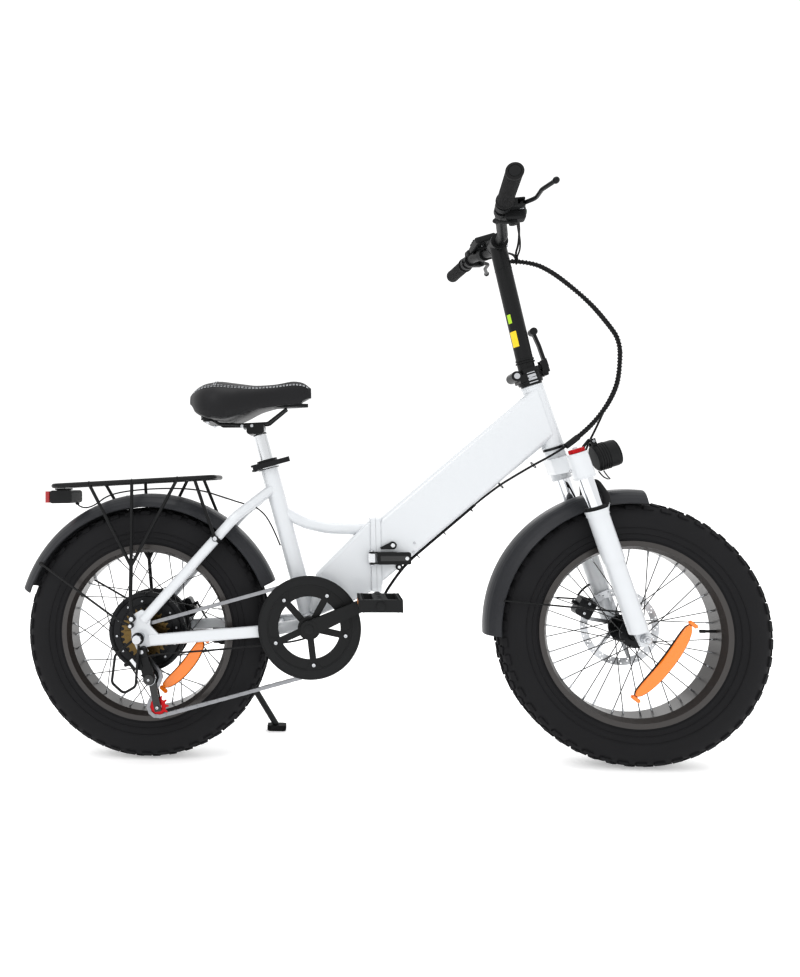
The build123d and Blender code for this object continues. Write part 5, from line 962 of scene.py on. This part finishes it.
def frame_trim():
    """Welds, hinge bolts, cable guides and bosses."""
    shape = Shape()
    up = (seat_line(1) - seat_line(0)).normalized()
    weld(shape, on(CRANK_AXLE, 50), LEFT, 21.5, 44)
    weld(shape, on(CRANK_AXLE, -50), LEFT, 21.5, 44)
    for side in (1, -1):
        y = side * 27
        weld_line(shape, [at(541, y, 566), at(541, y, 396)])
        weld_line(shape, [at(411, y - side * 2, 352), at(424, y - side * 2, 440)])
    weld(shape, at(325, 0, 589), Vector((58, 0, -32)), 14.6, 26)
    weld(shape, at(541, 0, 539), (1, 0, 0), 14.8, 26)
    shape.band(seat_line(386), up, 21, 22, 0.6, 3.6, "white_enamel", 40)
    shape.turn([(22.2, 0), (23.4, 0.8), (23.4, 5), (20, 5.6), (18.2, 5.6), (18.2, 0)], on(CRANK_AXLE, 49.8),
               (0, 1, 0), "zinc_plate", 40)
    shape.finish("rear_frame_welds", "rear")
    shape = Shape()
    for side in (1, -1):
        weld_line(shape, [at(564.5, side * 27, 566), at(564.5, side * 27, 410)])
    top, low = (904, 844), (938, 728)
    for side in (1, -1):
        weld_line(shape, [at(top[0] + 4, side * 24, top[1] + 2), at(low[0] + 2, side * 24, low[1] + 6)])
    axis = (steer(0, 0, 1) - steer(0, 0, 0)).normalized()
    for up_mm in (0.5, 148):
        shape.band(steer(0, 0, up_mm), axis, 24.8, 26.6, 0.8, 4.2, "white_enamel", 48)
    # Round boss under the latch, and the charging port's cover on the beam.
    shape.turn([(0, 0), (8, 0), (8, 3), (6.5, 4), (0, 4)], at(605, -27.9, 452), RIGHT, "black_nylon", 28)
    shape.turn([(0, 3.8), (3.5, 3.9), (3.5, 4.8), (0, 4.8)], at(605, -27.9, 452), (0, -1, 0),
               "machined_alloy", 20)
    for x, z in ((640, 486), (642, 508)):
        shape.bolt(at(x, -27.9, z), RIGHT, 2.6)
    # Cable ties under the beam.
    for x, y, z in ((650, -11, 477), (712, -10, 532), (776, -10, 586), (846, -18, 640), (918, -31, 686)):
        shape.ring(at(x, y, z), Vector((0.77, 0, 0.64)), 8.0, 1.1, "black_nylon", 24, 6)
    shape.finish("front_frame_welds", "front")
    shape = Shape()
    # Bolts of the hinge and latch.
    shape.rod(at(541.5, -37, 489), at(541.5, -37, 492), 5.2, "zinc_plate")
    shape.rod(at(541.5, -37, 459), at(541.5, -37, 456.4), 5.2, "zinc_plate")
    shape.block(at(592, -52.4, 474), (62, 1.4, 12), "black_gloss_paint", None, 0.6)
    shape.turn([(0, 0), (4.4, 0), (4.4, 1.2), (0, 1.6)], at(622, -52, 474), RIGHT, "machined_alloy", 24)
    shape.finish("frame_latch_pad", "frame_latch")
    shape = Shape()
    shape.turn([(0, 0), (5.2, 0), (5.2, 1.2), (4.2, 2), (2, 2), (2, 0.8), (0, 0.8)], at(591, -38.8, 503),
               (0, -1, 0),
               "machined_alloy", 24)
    shape.finish("safety_catch_pivot", "catch")


def rear_trim():
    """Rack feet, guard rivets and bolts at the stays' eyes."""
    shape = Shape()
    for side in (1, -1):
        shape.hexagon(at(-19, side * 103, 342), (0, side, 0), 10, 4, "zinc_plate")
        shape.hexagon(at(-22, side * 104, 326), (0, side, 0), 8, 3, "zinc_plate")
        shape.hexagon(at(178, side * 93, 526), (0, side, 0), 10, 4, "zinc_plate")
        shape.turn([(13.2, -5), (13.9, -4), (13.9, 4), (13.2, 5)], at(178, side * 73, 526),
                   Vector((219, side * -22.5, 239)), "black_powder_coat", 36)
        shape.turn([(0, 0), (5, 0), (5, 2), (3.4, 3), (0, 3)], around(REAR_AXLE, 306, 147, side * 54.5),
                   (0, side, 0),
                   "black_nylon", 20)
    for angle in (28, 55, 100, 140, 158):
        shape.turn([(0, 0), (3.4, 0), (2.6, 1.4), (0, 1.8)], around(REAR_AXLE, 332.6, angle, 0),
                   around(REAR_AXLE, 340, angle, 0) - around(REAR_AXLE, 330, angle, 0), "zinc_plate", 16)
    shape.finish("rear_bolts", "rear")
    shape = Shape()
    for x in (-228, 172):
        z = 655 + (x + 230) * 15 / 400
        for y in (-22, 22):
            shape.ring(at(x, y, z), (1, 0, 0), 4.6, 1.2, "black_powder_coat", 20, 8)
    for x in (-133, -27, 84):
        z = 655 + (x + 230) * 15 / 400
        for y in (-22, 22):
            shape.ring(at(x, y, z + 0.2), (1, 0, 0), 4.4, 1.0, "black_powder_coat", 20, 8)
        for side in (1, -1):
            shape.ring(at(x, side * 65, z), (1, 0, 0), 5.8, 1.2, "black_powder_coat", 20, 8)
    shape.finish("rack_weld_rings", "rear")
    shape = Shape()
    # Ribs of the rear lamp and its wire grommet.
    for k in range(5):
        shape.block(at(-257 + 0.8, -26 + 13 * k, 628), (2, 2.2, 24), "red_acrylic", None, 0.6)
    shape.turn([(5, 0), (5, 4), (3, 5), (0, 5)], at(-192, 20, 612), (0, 0, -1), "soft_rubber", 16)
    shape.finish("tail_light_ribs", "rear")


def fork_trim():
    """Crown bolts, the caps, the lamp's ribs and lens bars, and bolts of the brake."""
    shape = Shape()
    axis = (steer(0, 0, 1) - steer(0, 0, 0)).normalized()
    ahead = (steer(1, 0, 0) - steer(0, 0, 0)).normalized()
    for side in (1, -1):
        shape.bolt(steer(LEG_FORWARD - 23.4, side * LEG_Y, -60), -ahead, 3.6)
        shape.band(steer(LEG_FORWARD, side * LEG_Y, -83.5), axis, 22.5, 24.3, 0.8, 4, "white_enamel", 40)
        shape.band(steer(LEG_FORWARD, side * LEG_Y, -30), axis, 22.5, 24.2, 0.8, 3.4, "white_enamel", 40)
    shape.hexagon(steer(LEG_FORWARD, LEG_Y, -19.5), axis, 16, 4, "black_anodised_alloy")
    shape.finish("crown_bands", "fork")
    shape = Shape()
    for k in range(18):
        a = 2 * math.pi * k / 18
        side = Vector((0, 1, 0))
        centre = steer(LEG_FORWARD, -LEG_Y, -24.4) + (ahead * math.cos(a) + side * math.sin(a)) * 0.0149
        shape.rod(centre, centre + axis * 0.0082, 1.2, "red_anodised_alloy", 8)
    shape.bolt(steer(LEG_FORWARD, -LEG_Y, -15.8), axis, 3.2)
    shape.finish("lockout_knurl", "lockout")
    shape = Shape()
    for side in (1, -1):
        for up in (-160.5, -152.5):
            shape.ring(steer(LEG_FORWARD, side * LEG_Y, up), axis, 21.8 if up > -157 else 24.6, 0.9,
                       "soft_rubber" if up > -157 else "white_enamel", 44, 8)
        shape.bolt(steer(24.8, side * (LEG_Y + 6), -412), (0, side, 0), 3.0)
    # Hose guide on the left leg.
    shape.block(steer(LEG_FORWARD + 8, LEG_Y + 20, -230), (12, 10, 8), "black_nylon", None, 2)
    shape.finish("fork_leg_rings", "lowers")
    shape = Shape()
    lamp = steer(106, 0, -54)
    for k in range(5):
        shape.ring(lamp - ahead * ((20 - 5.5 * k) / 1000), ahead, 31.2, 1.3, "black_nylon", 56, 8)
    shape.ring(lamp + ahead * 0.0262, ahead, 28.4, 1.6, "black_nylon", 56, 8)
    shape.turn([(0, 25.4), (26.4, 25.4), (26.4, 24.2), (0, 24.0)], lamp, ahead, "lamp_bowl", 48)
    for k in range(-3, 4):
        reach = math.sqrt(26.0 ** 2 - (k * 6.6) ** 2)
        for j in (-1, 1):
            centre = lamp + ahead * 0.0258 + Vector((0, k * 0.0066, 0)) + axis * (j * reach / 2000)
            shape.block(centre, (1.6, 3.6, reach - 1.5), "lamp_lens",
                        Matrix((ahead, Vector((0, 1, 0)), axis)).transposed(), 0.7)
    for side in (1, -1):
        shape.bolt(steer(88, side * 11.2, -14), (0, side, 0), 3.4)
    shape.finish("headlight_ribs", "lamp")
    shape = Shape()
    loop = [steer(86, 16, -86), steer(90, 15, -100), steer(96, 10, -108), steer(98, 0, -110),
            steer(96, -10, -108),
            steer(90, -15, -100), steer(86, -16, -86)]
    shape.wire(route(loop), 1.6, "black_gloss_paint", 8)
    shape.finish("headlight_wire_loop", "lamp")
    for name, axle, body, angle, y in (("front_caliper_bolts", FRONT_AXLE, "lowers", 150, 51.0),
                                       ("rear_caliper_bolts", REAR_AXLE, "rear", 27, 63.0)):
        shape = Shape()
        for offset in (-8, 8):
            for face in (-17.2, 17.2):
                shape.bolt(around(axle, 92, angle + offset, y + face), (0, 1 if face > 0 else -1, 0), 3.6)
        shape.rod(around(axle, 110, angle, y), around(axle, 122, angle, y), 4.4, "black_anodised_alloy")
        shape.finish(name, body)


# ---- drive trim -----------------------------------------------------------------------------------
def drive_trim():
    """Ring bolts, the crank's dust cap, guard ribs, pedal treads and pulley caps."""
    shape = Shape()
    for k in range(5):
        angle = 72 * k + CRANK_ANGLE + 36
        shape.bolt(around(CRANK_AXLE, 84.2, angle, -88.0), RIGHT, 4.6)
    shape.turn([(0, 0), (11, 0), (11, 1.6), (9, 2.6), (0, 3.0)], on(CRANK_AXLE, -108), (0, -1, 0),
               "black_nylon", 32)
    for r in (97, 114.6):
        shape.ring(on(CRANK_AXLE, -87.8), LEFT, r, 0.9, "black_nylon", 120, 8)
    pedal = around(CRANK_AXLE, CRANK_LENGTH, CRANK_ANGLE, -108)
    shape.turn([(0, 0), (6.5, 0), (6.5, 1.2), (3, 1.4), (2.6, 0.4), (0, 0.4)], pedal, (0, -1, 0),
               "zinc_plate", 24)
    shape.finish("crank_right_trim", "crankset")
    shape = Shape()
    shape.turn([(0, 0), (11, 0), (11, 1.6), (9, 2.6), (0, 3.0)], on(CRANK_AXLE, 108), (0, 1, 0),
               "black_nylon", 32)
    shape.finish("crank_left_cap", "crankset")
    for name, body, angle, side in (("pedal_right_treads", "pedal_r", 0, -1),
                                    ("pedal_left_treads", "pedal_l", 180, 1)):
        shape = Shape()
        hub = around(CRANK_AXLE, CRANK_LENGTH, CRANK_ANGLE + angle, 0)
        for dx in (-44, -36, 36, 44):
            for k in range(9):
                for dz in (13, -13):
                    shape.block(hub + Vector((dx / 1000, side * (0.12 + 0.0108 * k), dz / 1000)), (4, 4, 2.4),
                                "black_nylon", None, 0.6)
        shape.turn([(0, 0), (9, 0), (9, 3), (7, 4.5), (0, 4.5)], hub + Vector((0, side * 0.212, 0)),
                   (0, side, 0),
                   "black_nylon", 24)
        for k in range(3):
            shape.ring(hub + Vector((0, side * (0.135 + 0.025 * k), 0)), LEFT, 13.2, 1.2,
                       "black_nylon", 28, 8)
        shape.finish(name, body)
    shape = Shape()
    shape.hexagon(at(6, -107.5, 268), RIGHT, 9, 3, "zinc_plate")
    shape.turn([(0, 0), (12, 0), (12, 2), (10, 3), (0, 3)], at(22, -106.5, 205), (0, -1, 0),
               "black_gloss_paint", 30)
    shape.bolt(at(22, -109.2, 205), RIGHT, 3.4)
    coil = [at(22, -96 - 3.4 * k / 20, 205) + Vector((0.0145 * math.cos(2 * math.pi * k / 20), 0,
            0.0145 * math.sin(2 * math.pi * k / 20))) for k in range(41)]
    shape.wire(coil, 1.0, "zinc_plate", 6)
    shape.block(at(-12, -109.8, 243), (22, 2.0, 8), "machined_alloy",
                Matrix.Rotation(math.radians(50), 3, "Y"), 0.8)
    shape.rod(at(-24, -103, 240), at(-36, -103, 236), 4.2, "black_nylon")
    shape.finish("derailleur_bolts", "rear")
    for name, node, body in (("upper_pulley_cap", "upper_pulley", "pulley_u"),
                             ("lower_pulley_cap", "lower_pulley", "pulley_l")):
        low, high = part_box(node)
        hub = (low + high) / 2
        shape = Shape()
        for side in (1, -1):
            shape.turn([(3.2, 0), (9, 0), (9, 1.6), (3.2, 2.2)], hub + Vector((0, side * 0.001, 0)),
                       (0, side, 0),
                       "zinc_plate", 28)
        shape.finish(name, body)
    shape = Shape()
    for node in ("upper_pulley", "lower_pulley"):
        low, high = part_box(node)
        shape.bolt((low + high) / 2 + Vector((0, -0.0075, 0)), RIGHT, 4.0)
    shape.finish("cage_bolts", "cage")


def kickstand_trim():
    """Ribs of the rubber foot."""
    shape = Shape()
    for k in range(4):
        shape.block(at(294, 189, 3.2 + 3.2 * k), (49.2, 29.2, 1.3), "soft_rubber", None, 0.5)
    shape.finish("kickstand_foot_ribs", "kickstand")


# ---- cables ---------------------------------------------------------------------------------------
LOOP_TOP = [(891.6, -4, 1177), (938, -8, 1171), (980, -12, 1146), (1024, -14, 1107), (1068, -16, 1062),
            (1106, -16, 1010), (1126, -15, 978), (1128, -15, 951.3)]
LOOP_LOW = [(1128, -15, 950), (1126, -14, 892), (1104, -16, 838), (1068, -22, 790), (1026, -29, 752),
            (992, -33, 728)]
UNDER_BEAM = [(991.6, -33, 727.7), (960, -35, 708), (918, -31, 686), (878, -24, 662), (833, -16, 634),
              (787, -10, 596)]


def spiral(name, points, node):
    """A bundle of cables inside a spiral wrap."""
    line = route([at(*p) for p in points])
    shape = Shape()
    count = len(line)
    dist = [0.0]
    for p, q in zip(line, line[1:]):
        dist.append(dist[-1] + (q - p).length * 1000)
    up = None
    frames = []
    for i, p in enumerate(line):
        along = (line[min(i + 1, count - 1)] - line[max(i - 1, 0)]).normalized()
        if up is None:
            up = along.orthogonal().normalized()
        up = (up - along * up.dot(along)).normalized()
        frames.append((p, up, along.cross(up)))
    for k in range(4):
        strand = []
        for i, (p, u, s) in enumerate(frames):
            turn = math.radians(90 * k) + dist[i] / 95
            strand.append(p + (u * math.cos(turn) + s * math.sin(turn)) * (STRAND_OFFSET / 1000))
        shape.wire(strand, 2.4, "soft_rubber", 8)
    pitch = 8.0
    steps = int(dist[-1] / pitch * 14)
    ribbon = []
    for n in range(steps + 1):
        d = dist[-1] * n / steps
        i = max(j for j in range(count) if dist[j] <= d + 1e-9)
        j = min(i + 1, count - 1)
        t = 0 if j == i else (d - dist[i]) / max(1e-9, dist[j] - dist[i])
        p = frames[i][0].lerp(frames[j][0], t)
        u = frames[i][1].lerp(frames[j][1], t).normalized()
        s = frames[i][2].lerp(frames[j][2], t).normalized()
        turn = 2 * math.pi * d / pitch
        ribbon.append(p + (u * math.cos(turn) + s * math.sin(turn)) * (WRAP_R / 1000))
    shape.wire(ribbon, 1.3, "black_nylon", 6)
    piece = shape.finish(name, None, crease=60)
    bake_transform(piece)
    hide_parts(node)


def cables(diameter):
    """The wrapped bundle in front, the cables that feed it, and the ones along the frame."""
    r = diameter * 500
    spiral("cable_bundle_upper", LOOP_TOP, "cable_loop")
    spiral("cable_bundle_lower", LOOP_LOW, "cable_neck")
    run = cable("cable_under_beam", [at(*p) for p in UNDER_BEAM], r, "front")
    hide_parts("cable_run")
    more = [(x, -10, beam_bottom(x) - 4.5) for x in (787, 752, 712, 672, 632)] + [(600, -12, 430),
                                                                                  (578, -14, 398)]
    for k in range(3):
        shift = 5.2 * (k - 1)
        pts = [at(x, y + shift, z) for x, y, z in more]
        cable(f"beam_cable_{k}", pts, r, "front")
        bend = [at(578, -14 + shift, 398), at(560, -14 + shift, 366), at(536, -16 + shift, 356),
                at(512, -18 + shift, 362), at(494, -20 + shift, 368)]
        shape = Shape()
        shape.wire(route(bend), r, "soft_rubber")
        link = shape.finish(f"hinge_cable_{k}", None)
        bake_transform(link)
    # Cables from the levers, the shifter and the display to the bundle's clip.
    clip = (903, -4, 1178)
    feeds = {
        "brake_hose_right": [bar_end(-1, GRIP_LENGTH + 46, 34), bar_end(-1, GRIP_LENGTH + 74, 38, -2),
                             at(893, -78, 1226), at(902, -34, 1208), at(900, -8, 1192), at(*clip)],
        "brake_hose_left": [bar_end(1, GRIP_LENGTH + 46, 34), bar_end(1, GRIP_LENGTH + 78, 42, -4),
                            at(900, 70, 1222), at(906, 30, 1204), at(902, 2, 1190), at(*clip)],
        "shift_cable": [bar_end(-1, GRIP_LENGTH + 76, 36, -14), bar_end(-1, GRIP_LENGTH + 100, 40, -16),
                        at(898, -64, 1208), at(906, -30, 1196), at(904, -10, 1186), at(*clip)],
        "display_wire": [at(862, 92, 1238), at(884, 80, 1232), at(897, 50, 1215), at(902, 20, 1200),
                         at(902, 2, 1188),
                         at(*clip)],
    }
    for name, points in feeds.items():
        cable(name, points, r if "hose" in name else r * 0.8, "bars")
    shape = Shape()
    shape.block(at(894, -4, 1176), (16, 14, 5), "black_powder_coat", None, 1.2)
    shape.ring(at(904, -5, 1177), Vector((1, 0, -0.1)), 7.6, 1.7, "black_powder_coat", 28, 8)
    shape.finish("cable_clip", "bars")
    # A shrink sleeve at the wrap's lower end.
    shape = Shape()
    line = route([at(*p) for p in LOOP_LOW])
    shape.wire(line[-9:], 7.0, "black_nylon", 16)
    shape.finish("bundle_sleeve", "front")
    # Front brake hose: from the bundle down to the left leg, and on to the caliper.
    hose = [at(1100, -12, 838), at(1092, 30, 790), at(1078, 78, 735), at(1068, 108, 680), at(1068, 112, 620),
            at(1074, 108, 575)]
    cable("front_hose_upper", hose, r, "fork")
    leg = [at(1074, 108, 573), at(1082, 106, 530), at(1090, 103, 480), at(1094, 100, 430), at(1080, 86, 400),
           at(1050, 66, 388), at(1034, 54, 374)]
    cable("front_hose_lower", leg, r, "lowers")
    cable("headlight_wire", [steer(72, 0, -54), steer(62, 6, -60), steer(50, 12, -66), steer(38, 14, -60)],
          1.6, "fork")
    # Gear cable, rear hose, motor wire and lamp wire along the rear half.
    cable("gear_cable_rear", [at(494, -20, 366), at(460, -30, 338), at(430, -48, 312), at(380, -62, 288),
                              at(300, -76, 280), at(200, -88, 272), at(110, -96, 266), at(40, -103, 262),
                              at(0, -106, 254), at(-34, -104, 240)], r * 0.85, "rear")
    cable("rear_hose", [at(494, -14, 368), at(462, 8, 336), at(430, 40, 304), at(380, 66, 296),
                        at(300, 82, 286),
                        at(200, 90, 288), at(130, 92, 300), at(112, 78, 336), at(106, 66, 354)], r, "rear")
    cable("motor_wire", [at(494, -8, 366), at(464, 14, 332), at(430, 46, 298), at(370, 72, 290),
                         at(280, 90, 282),
                         at(180, 98, 278), at(90, 106, 276), at(30, 118, 282), at(6, 122, 296), at(0, 117,
                                                                                                   300)],
          r * 1.3, "rear")
    cable("tail_wire", [at(-192, 20, 608), at(-180, 24, 596), at(-150, 30, 604), at(-120, 40, 630),
                        at(-60, 56, 642),
                        at(40, 58, 646), at(120, 50, 640), at(176, 36, 622), at(226, 20, 606), at(268, 12,
                                                                                                  596),
                        at(300, 18, 560), at(322, 24, 500)], 1.8, "rear")
    shape = Shape()
    for x, z in ((240, 272), (150, 268), (300, 280)):
        shape.ring(at(x, -82 if x < 250 else -76, z), (1, 0, 0), 4.0, 0.8, "black_nylon", 20, 6)
    shape.finish("rear_cable_ties", "rear")


# ---- stage ----------------------------------------------------------------------------------------
def stage():
    """A wide pale floor, soft lights and the camera."""
    profile = [(r, -0.0005) for r in (0.0, 2.0, 6.0, 14.0, 40.0)]
    shape = Shape()
    shape.turn([(r * 1000, h * 1000) for r, h in profile], Vector((0, 0, 0)), (0, 0, 1), "matt_floor", 96)
    floor = shape.finish("studio_floor", None, crease=180)
    world = bpy.data.worlds.new("studio")
    world.use_nodes = True
    world.node_tree.nodes["Background"].inputs[0].default_value = (1.0, 1.0, 1.0, 1.0)
    world.node_tree.nodes["Background"].inputs[1].default_value = 0.95
    bpy.context.scene.world = world
    lamps = (("key_light", (-1.8, -2.4, 3.4), 16.0, 1.4), ("back_light", (0.8, 3.0, 2.6), 14.0, 2.0),
             ("top_light", (0.0, -0.2, 4.2), 22.0, 2.2))
    for name, place, power, size in lamps:
        light = bpy.data.lights.new(name, "AREA")
        light.energy = power
        light.size = size
        lamp = bpy.data.objects.new(name, light)
        lamp.location = place
        lamp.rotation_euler = (Vector((0, 0, 0.5)) - Vector(place)).to_track_quat("-Z", "Y").to_euler()
        bpy.context.scene.collection.objects.link(lamp)
    camera = bpy.data.cameras.new("camera")
    camera.lens = 26.43
    camera.sensor_width = 36.0
    camera.shift_x = 0.147
    camera.shift_y = -0.0408
    yaw, pitch, roll = math.radians(-5.698), math.radians(-3.156), math.radians(-0.864)
    level = Vector((math.sin(yaw), math.cos(yaw), 0))
    right = Vector((math.cos(yaw), -math.sin(yaw), 0))
    above = Vector((0, 0, 1))
    look = level * math.cos(pitch) - above * math.sin(pitch)
    over = above * math.cos(pitch) + level * math.sin(pitch)
    across = right * math.cos(roll) + over * math.sin(roll)
    upward = -right * math.sin(roll) + over * math.cos(roll)
    holder = bpy.data.objects.new("camera", camera)
    turn = Matrix((across, upward, -look)).transposed().to_4x4()
    holder.matrix_world = Matrix.Translation(at(443.9, -1753.4, 642.0)) @ turn
    bpy.context.scene.collection.objects.link(holder)
    bpy.context.scene.camera = holder
    bpy.context.scene.view_settings.view_transform = "Standard"
    bpy.context.scene.view_settings.look = "Medium High Contrast"


# ---- operators ------------------------------------------------------------------------------------
class BICYCLE_OT_finishes(bpy.types.Operator):
    """Makes every material of the bicycle"""

    bl_idname = "bicycle.finishes"
    bl_label = "Finishes"

    def execute(self, context):
        make_materials(context.scene.bicycle_colours)
        return {"FINISHED"}


class BICYCLE_OT_cad_finishes(bpy.types.Operator):
    """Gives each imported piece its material"""

    bl_idname = "bicycle.cad_finishes"
    bl_label = "Packed pieces"

    def execute(self, context):
        dress_frame()
        dress_fork()
        dress_wheels()
        dress_drive()
        dress_front()
        return {"FINISHED"}


class BICYCLE_OT_tyres(bpy.types.Operator):
    """Builds both tyres with their tread"""

    bl_idname = "bicycle.tyres"
    bl_label = "Tyres"

    def execute(self, context):
        sizes = context.scene.bicycle_sizes
        height = sizes.tread_height * 1000
        tyre("front_tyre_tread", "front_wheel", FRONT_AXLE, "front_tyre", height, sizes.tread_rows)
        tyre("rear_tyre_tread", "rear_wheel", REAR_AXLE, "rear_tyre", height, sizes.tread_rows)
        return {"FINISHED"}


class BICYCLE_OT_wheel_parts(bpy.types.Operator):
    """Adds nipples, valves, reflectors and hub bolts"""

    bl_idname = "bicycle.wheel_parts"
    bl_label = "Wheel parts"

    def execute(self, context):
        wheel_trim("front_nipples", "front_wheel", FRONT_AXLE, 29.0, 32.0)
        wheel_trim("rear_nipples", "rear_wheel", REAR_AXLE, 92.0, 30.0)
        spoke_reflector("front_reflector", "front_wheel", FRONT_AXLE, (1248, 323), (1118, 158), -44)
        spoke_reflector("rear_reflector", "rear_wheel", REAR_AXLE, (144, 284), (42, 166), -44)
        hub_trim()
        return {"FINISHED"}


class BICYCLE_OT_saddle(bpy.types.Operator):
    """Builds the padded saddle cover, its seams and springs"""

    bl_idname = "bicycle.saddle"
    bl_label = "Saddle"

    def execute(self, context):
        sizes = context.scene.bicycle_sizes
        saddle_cover()
        saddle_seams(sizes.stitch)
        saddle_springs(sizes.coil_wire)
        seatpost_marks()
        return {"FINISHED"}


class BICYCLE_OT_handlebar(bpy.types.Operator):
    """Builds the grips and the small parts of the bar and stem"""

    bl_idname = "bicycle.handlebar"
    bl_label = "Handlebar"

    def execute(self, context):
        grips()
        bar_trim()
        stem_trim()
        return {"FINISHED"}


class BICYCLE_OT_frame_parts(bpy.types.Operator):
    """Adds welds, bolts and guides to both halves of the frame"""

    bl_idname = "bicycle.frame_parts"
    bl_label = "Frame parts"

    def execute(self, context):
        frame_trim()
        rear_trim()
        kickstand_trim()
        return {"FINISHED"}


class BICYCLE_OT_fork_parts(bpy.types.Operator):
    """Adds the fork's bands, the lamp's ribs and the brake's bolts"""

    bl_idname = "bicycle.fork_parts"
    bl_label = "Fork parts"

    def execute(self, context):
        fork_trim()
        return {"FINISHED"}


class BICYCLE_OT_drive_parts(bpy.types.Operator):
    """Adds the drive train's bolts, treads and caps"""

    bl_idname = "bicycle.drive_parts"
    bl_label = "Drive parts"

    def execute(self, context):
        drive_trim()
        return {"FINISHED"}


class BICYCLE_OT_cables(bpy.types.Operator):
    """Lays the cables, hoses and wires"""

    bl_idname = "bicycle.cables"
    bl_label = "Cables"

    def execute(self, context):
        cables(context.scene.bicycle_sizes.cable)
        return {"FINISHED"}


class BICYCLE_OT_stage(bpy.types.Operator):
    """Sets the floor, the lights and the camera"""

    bl_idname = "bicycle.stage"
    bl_label = "Stage"

    def execute(self, context):
        stage()
        return {"FINISHED"}


OPERATORS = (
    BICYCLE_OT_finishes,
    BICYCLE_OT_cad_finishes,
    BICYCLE_OT_tyres,
    BICYCLE_OT_wheel_parts,
    BICYCLE_OT_saddle,
    BICYCLE_OT_handlebar,
    BICYCLE_OT_frame_parts,
    BICYCLE_OT_fork_parts,
    BICYCLE_OT_drive_parts,
    BICYCLE_OT_cables,
    BICYCLE_OT_stage,
)


class BICYCLE_PT_parts(bpy.types.Panel):
    """Lists the steps that dress the bicycle"""

    bl_label = "Folding bicycle"
    bl_idname = "BICYCLE_PT_parts"
    bl_space_type = "VIEW_3D"
    bl_region_type = "UI"
    bl_category = "Bicycle"

    def draw(self, context):
        column = self.layout.column()
        for group in (context.scene.bicycle_colours, context.scene.bicycle_sizes):
            for name in group.__annotations__:
                column.prop(group, name)
        for operator in OPERATORS:
            column.operator(operator.bl_idname)


CLASSES = (BicycleColours, BicycleSizes) + OPERATORS + (BICYCLE_PT_parts,)


def register():
    for item in CLASSES:
        bpy.utils.register_class(item)
    bpy.types.Scene.bicycle_colours = bpy.props.PointerProperty(type=BicycleColours)
    bpy.types.Scene.bicycle_sizes = bpy.props.PointerProperty(type=BicycleSizes)


def unregister():
    del bpy.types.Scene.bicycle_colours
    del bpy.types.Scene.bicycle_sizes
    for item in reversed(CLASSES):
        bpy.utils.unregister_class(item)


def main():
    register()
    for operator in OPERATORS:
        name = operator.bl_idname.split(".")[1]
        getattr(bpy.ops.bicycle, name)()
    bpy.context.view_layer.update()


if __name__ == "__main__":
    main()
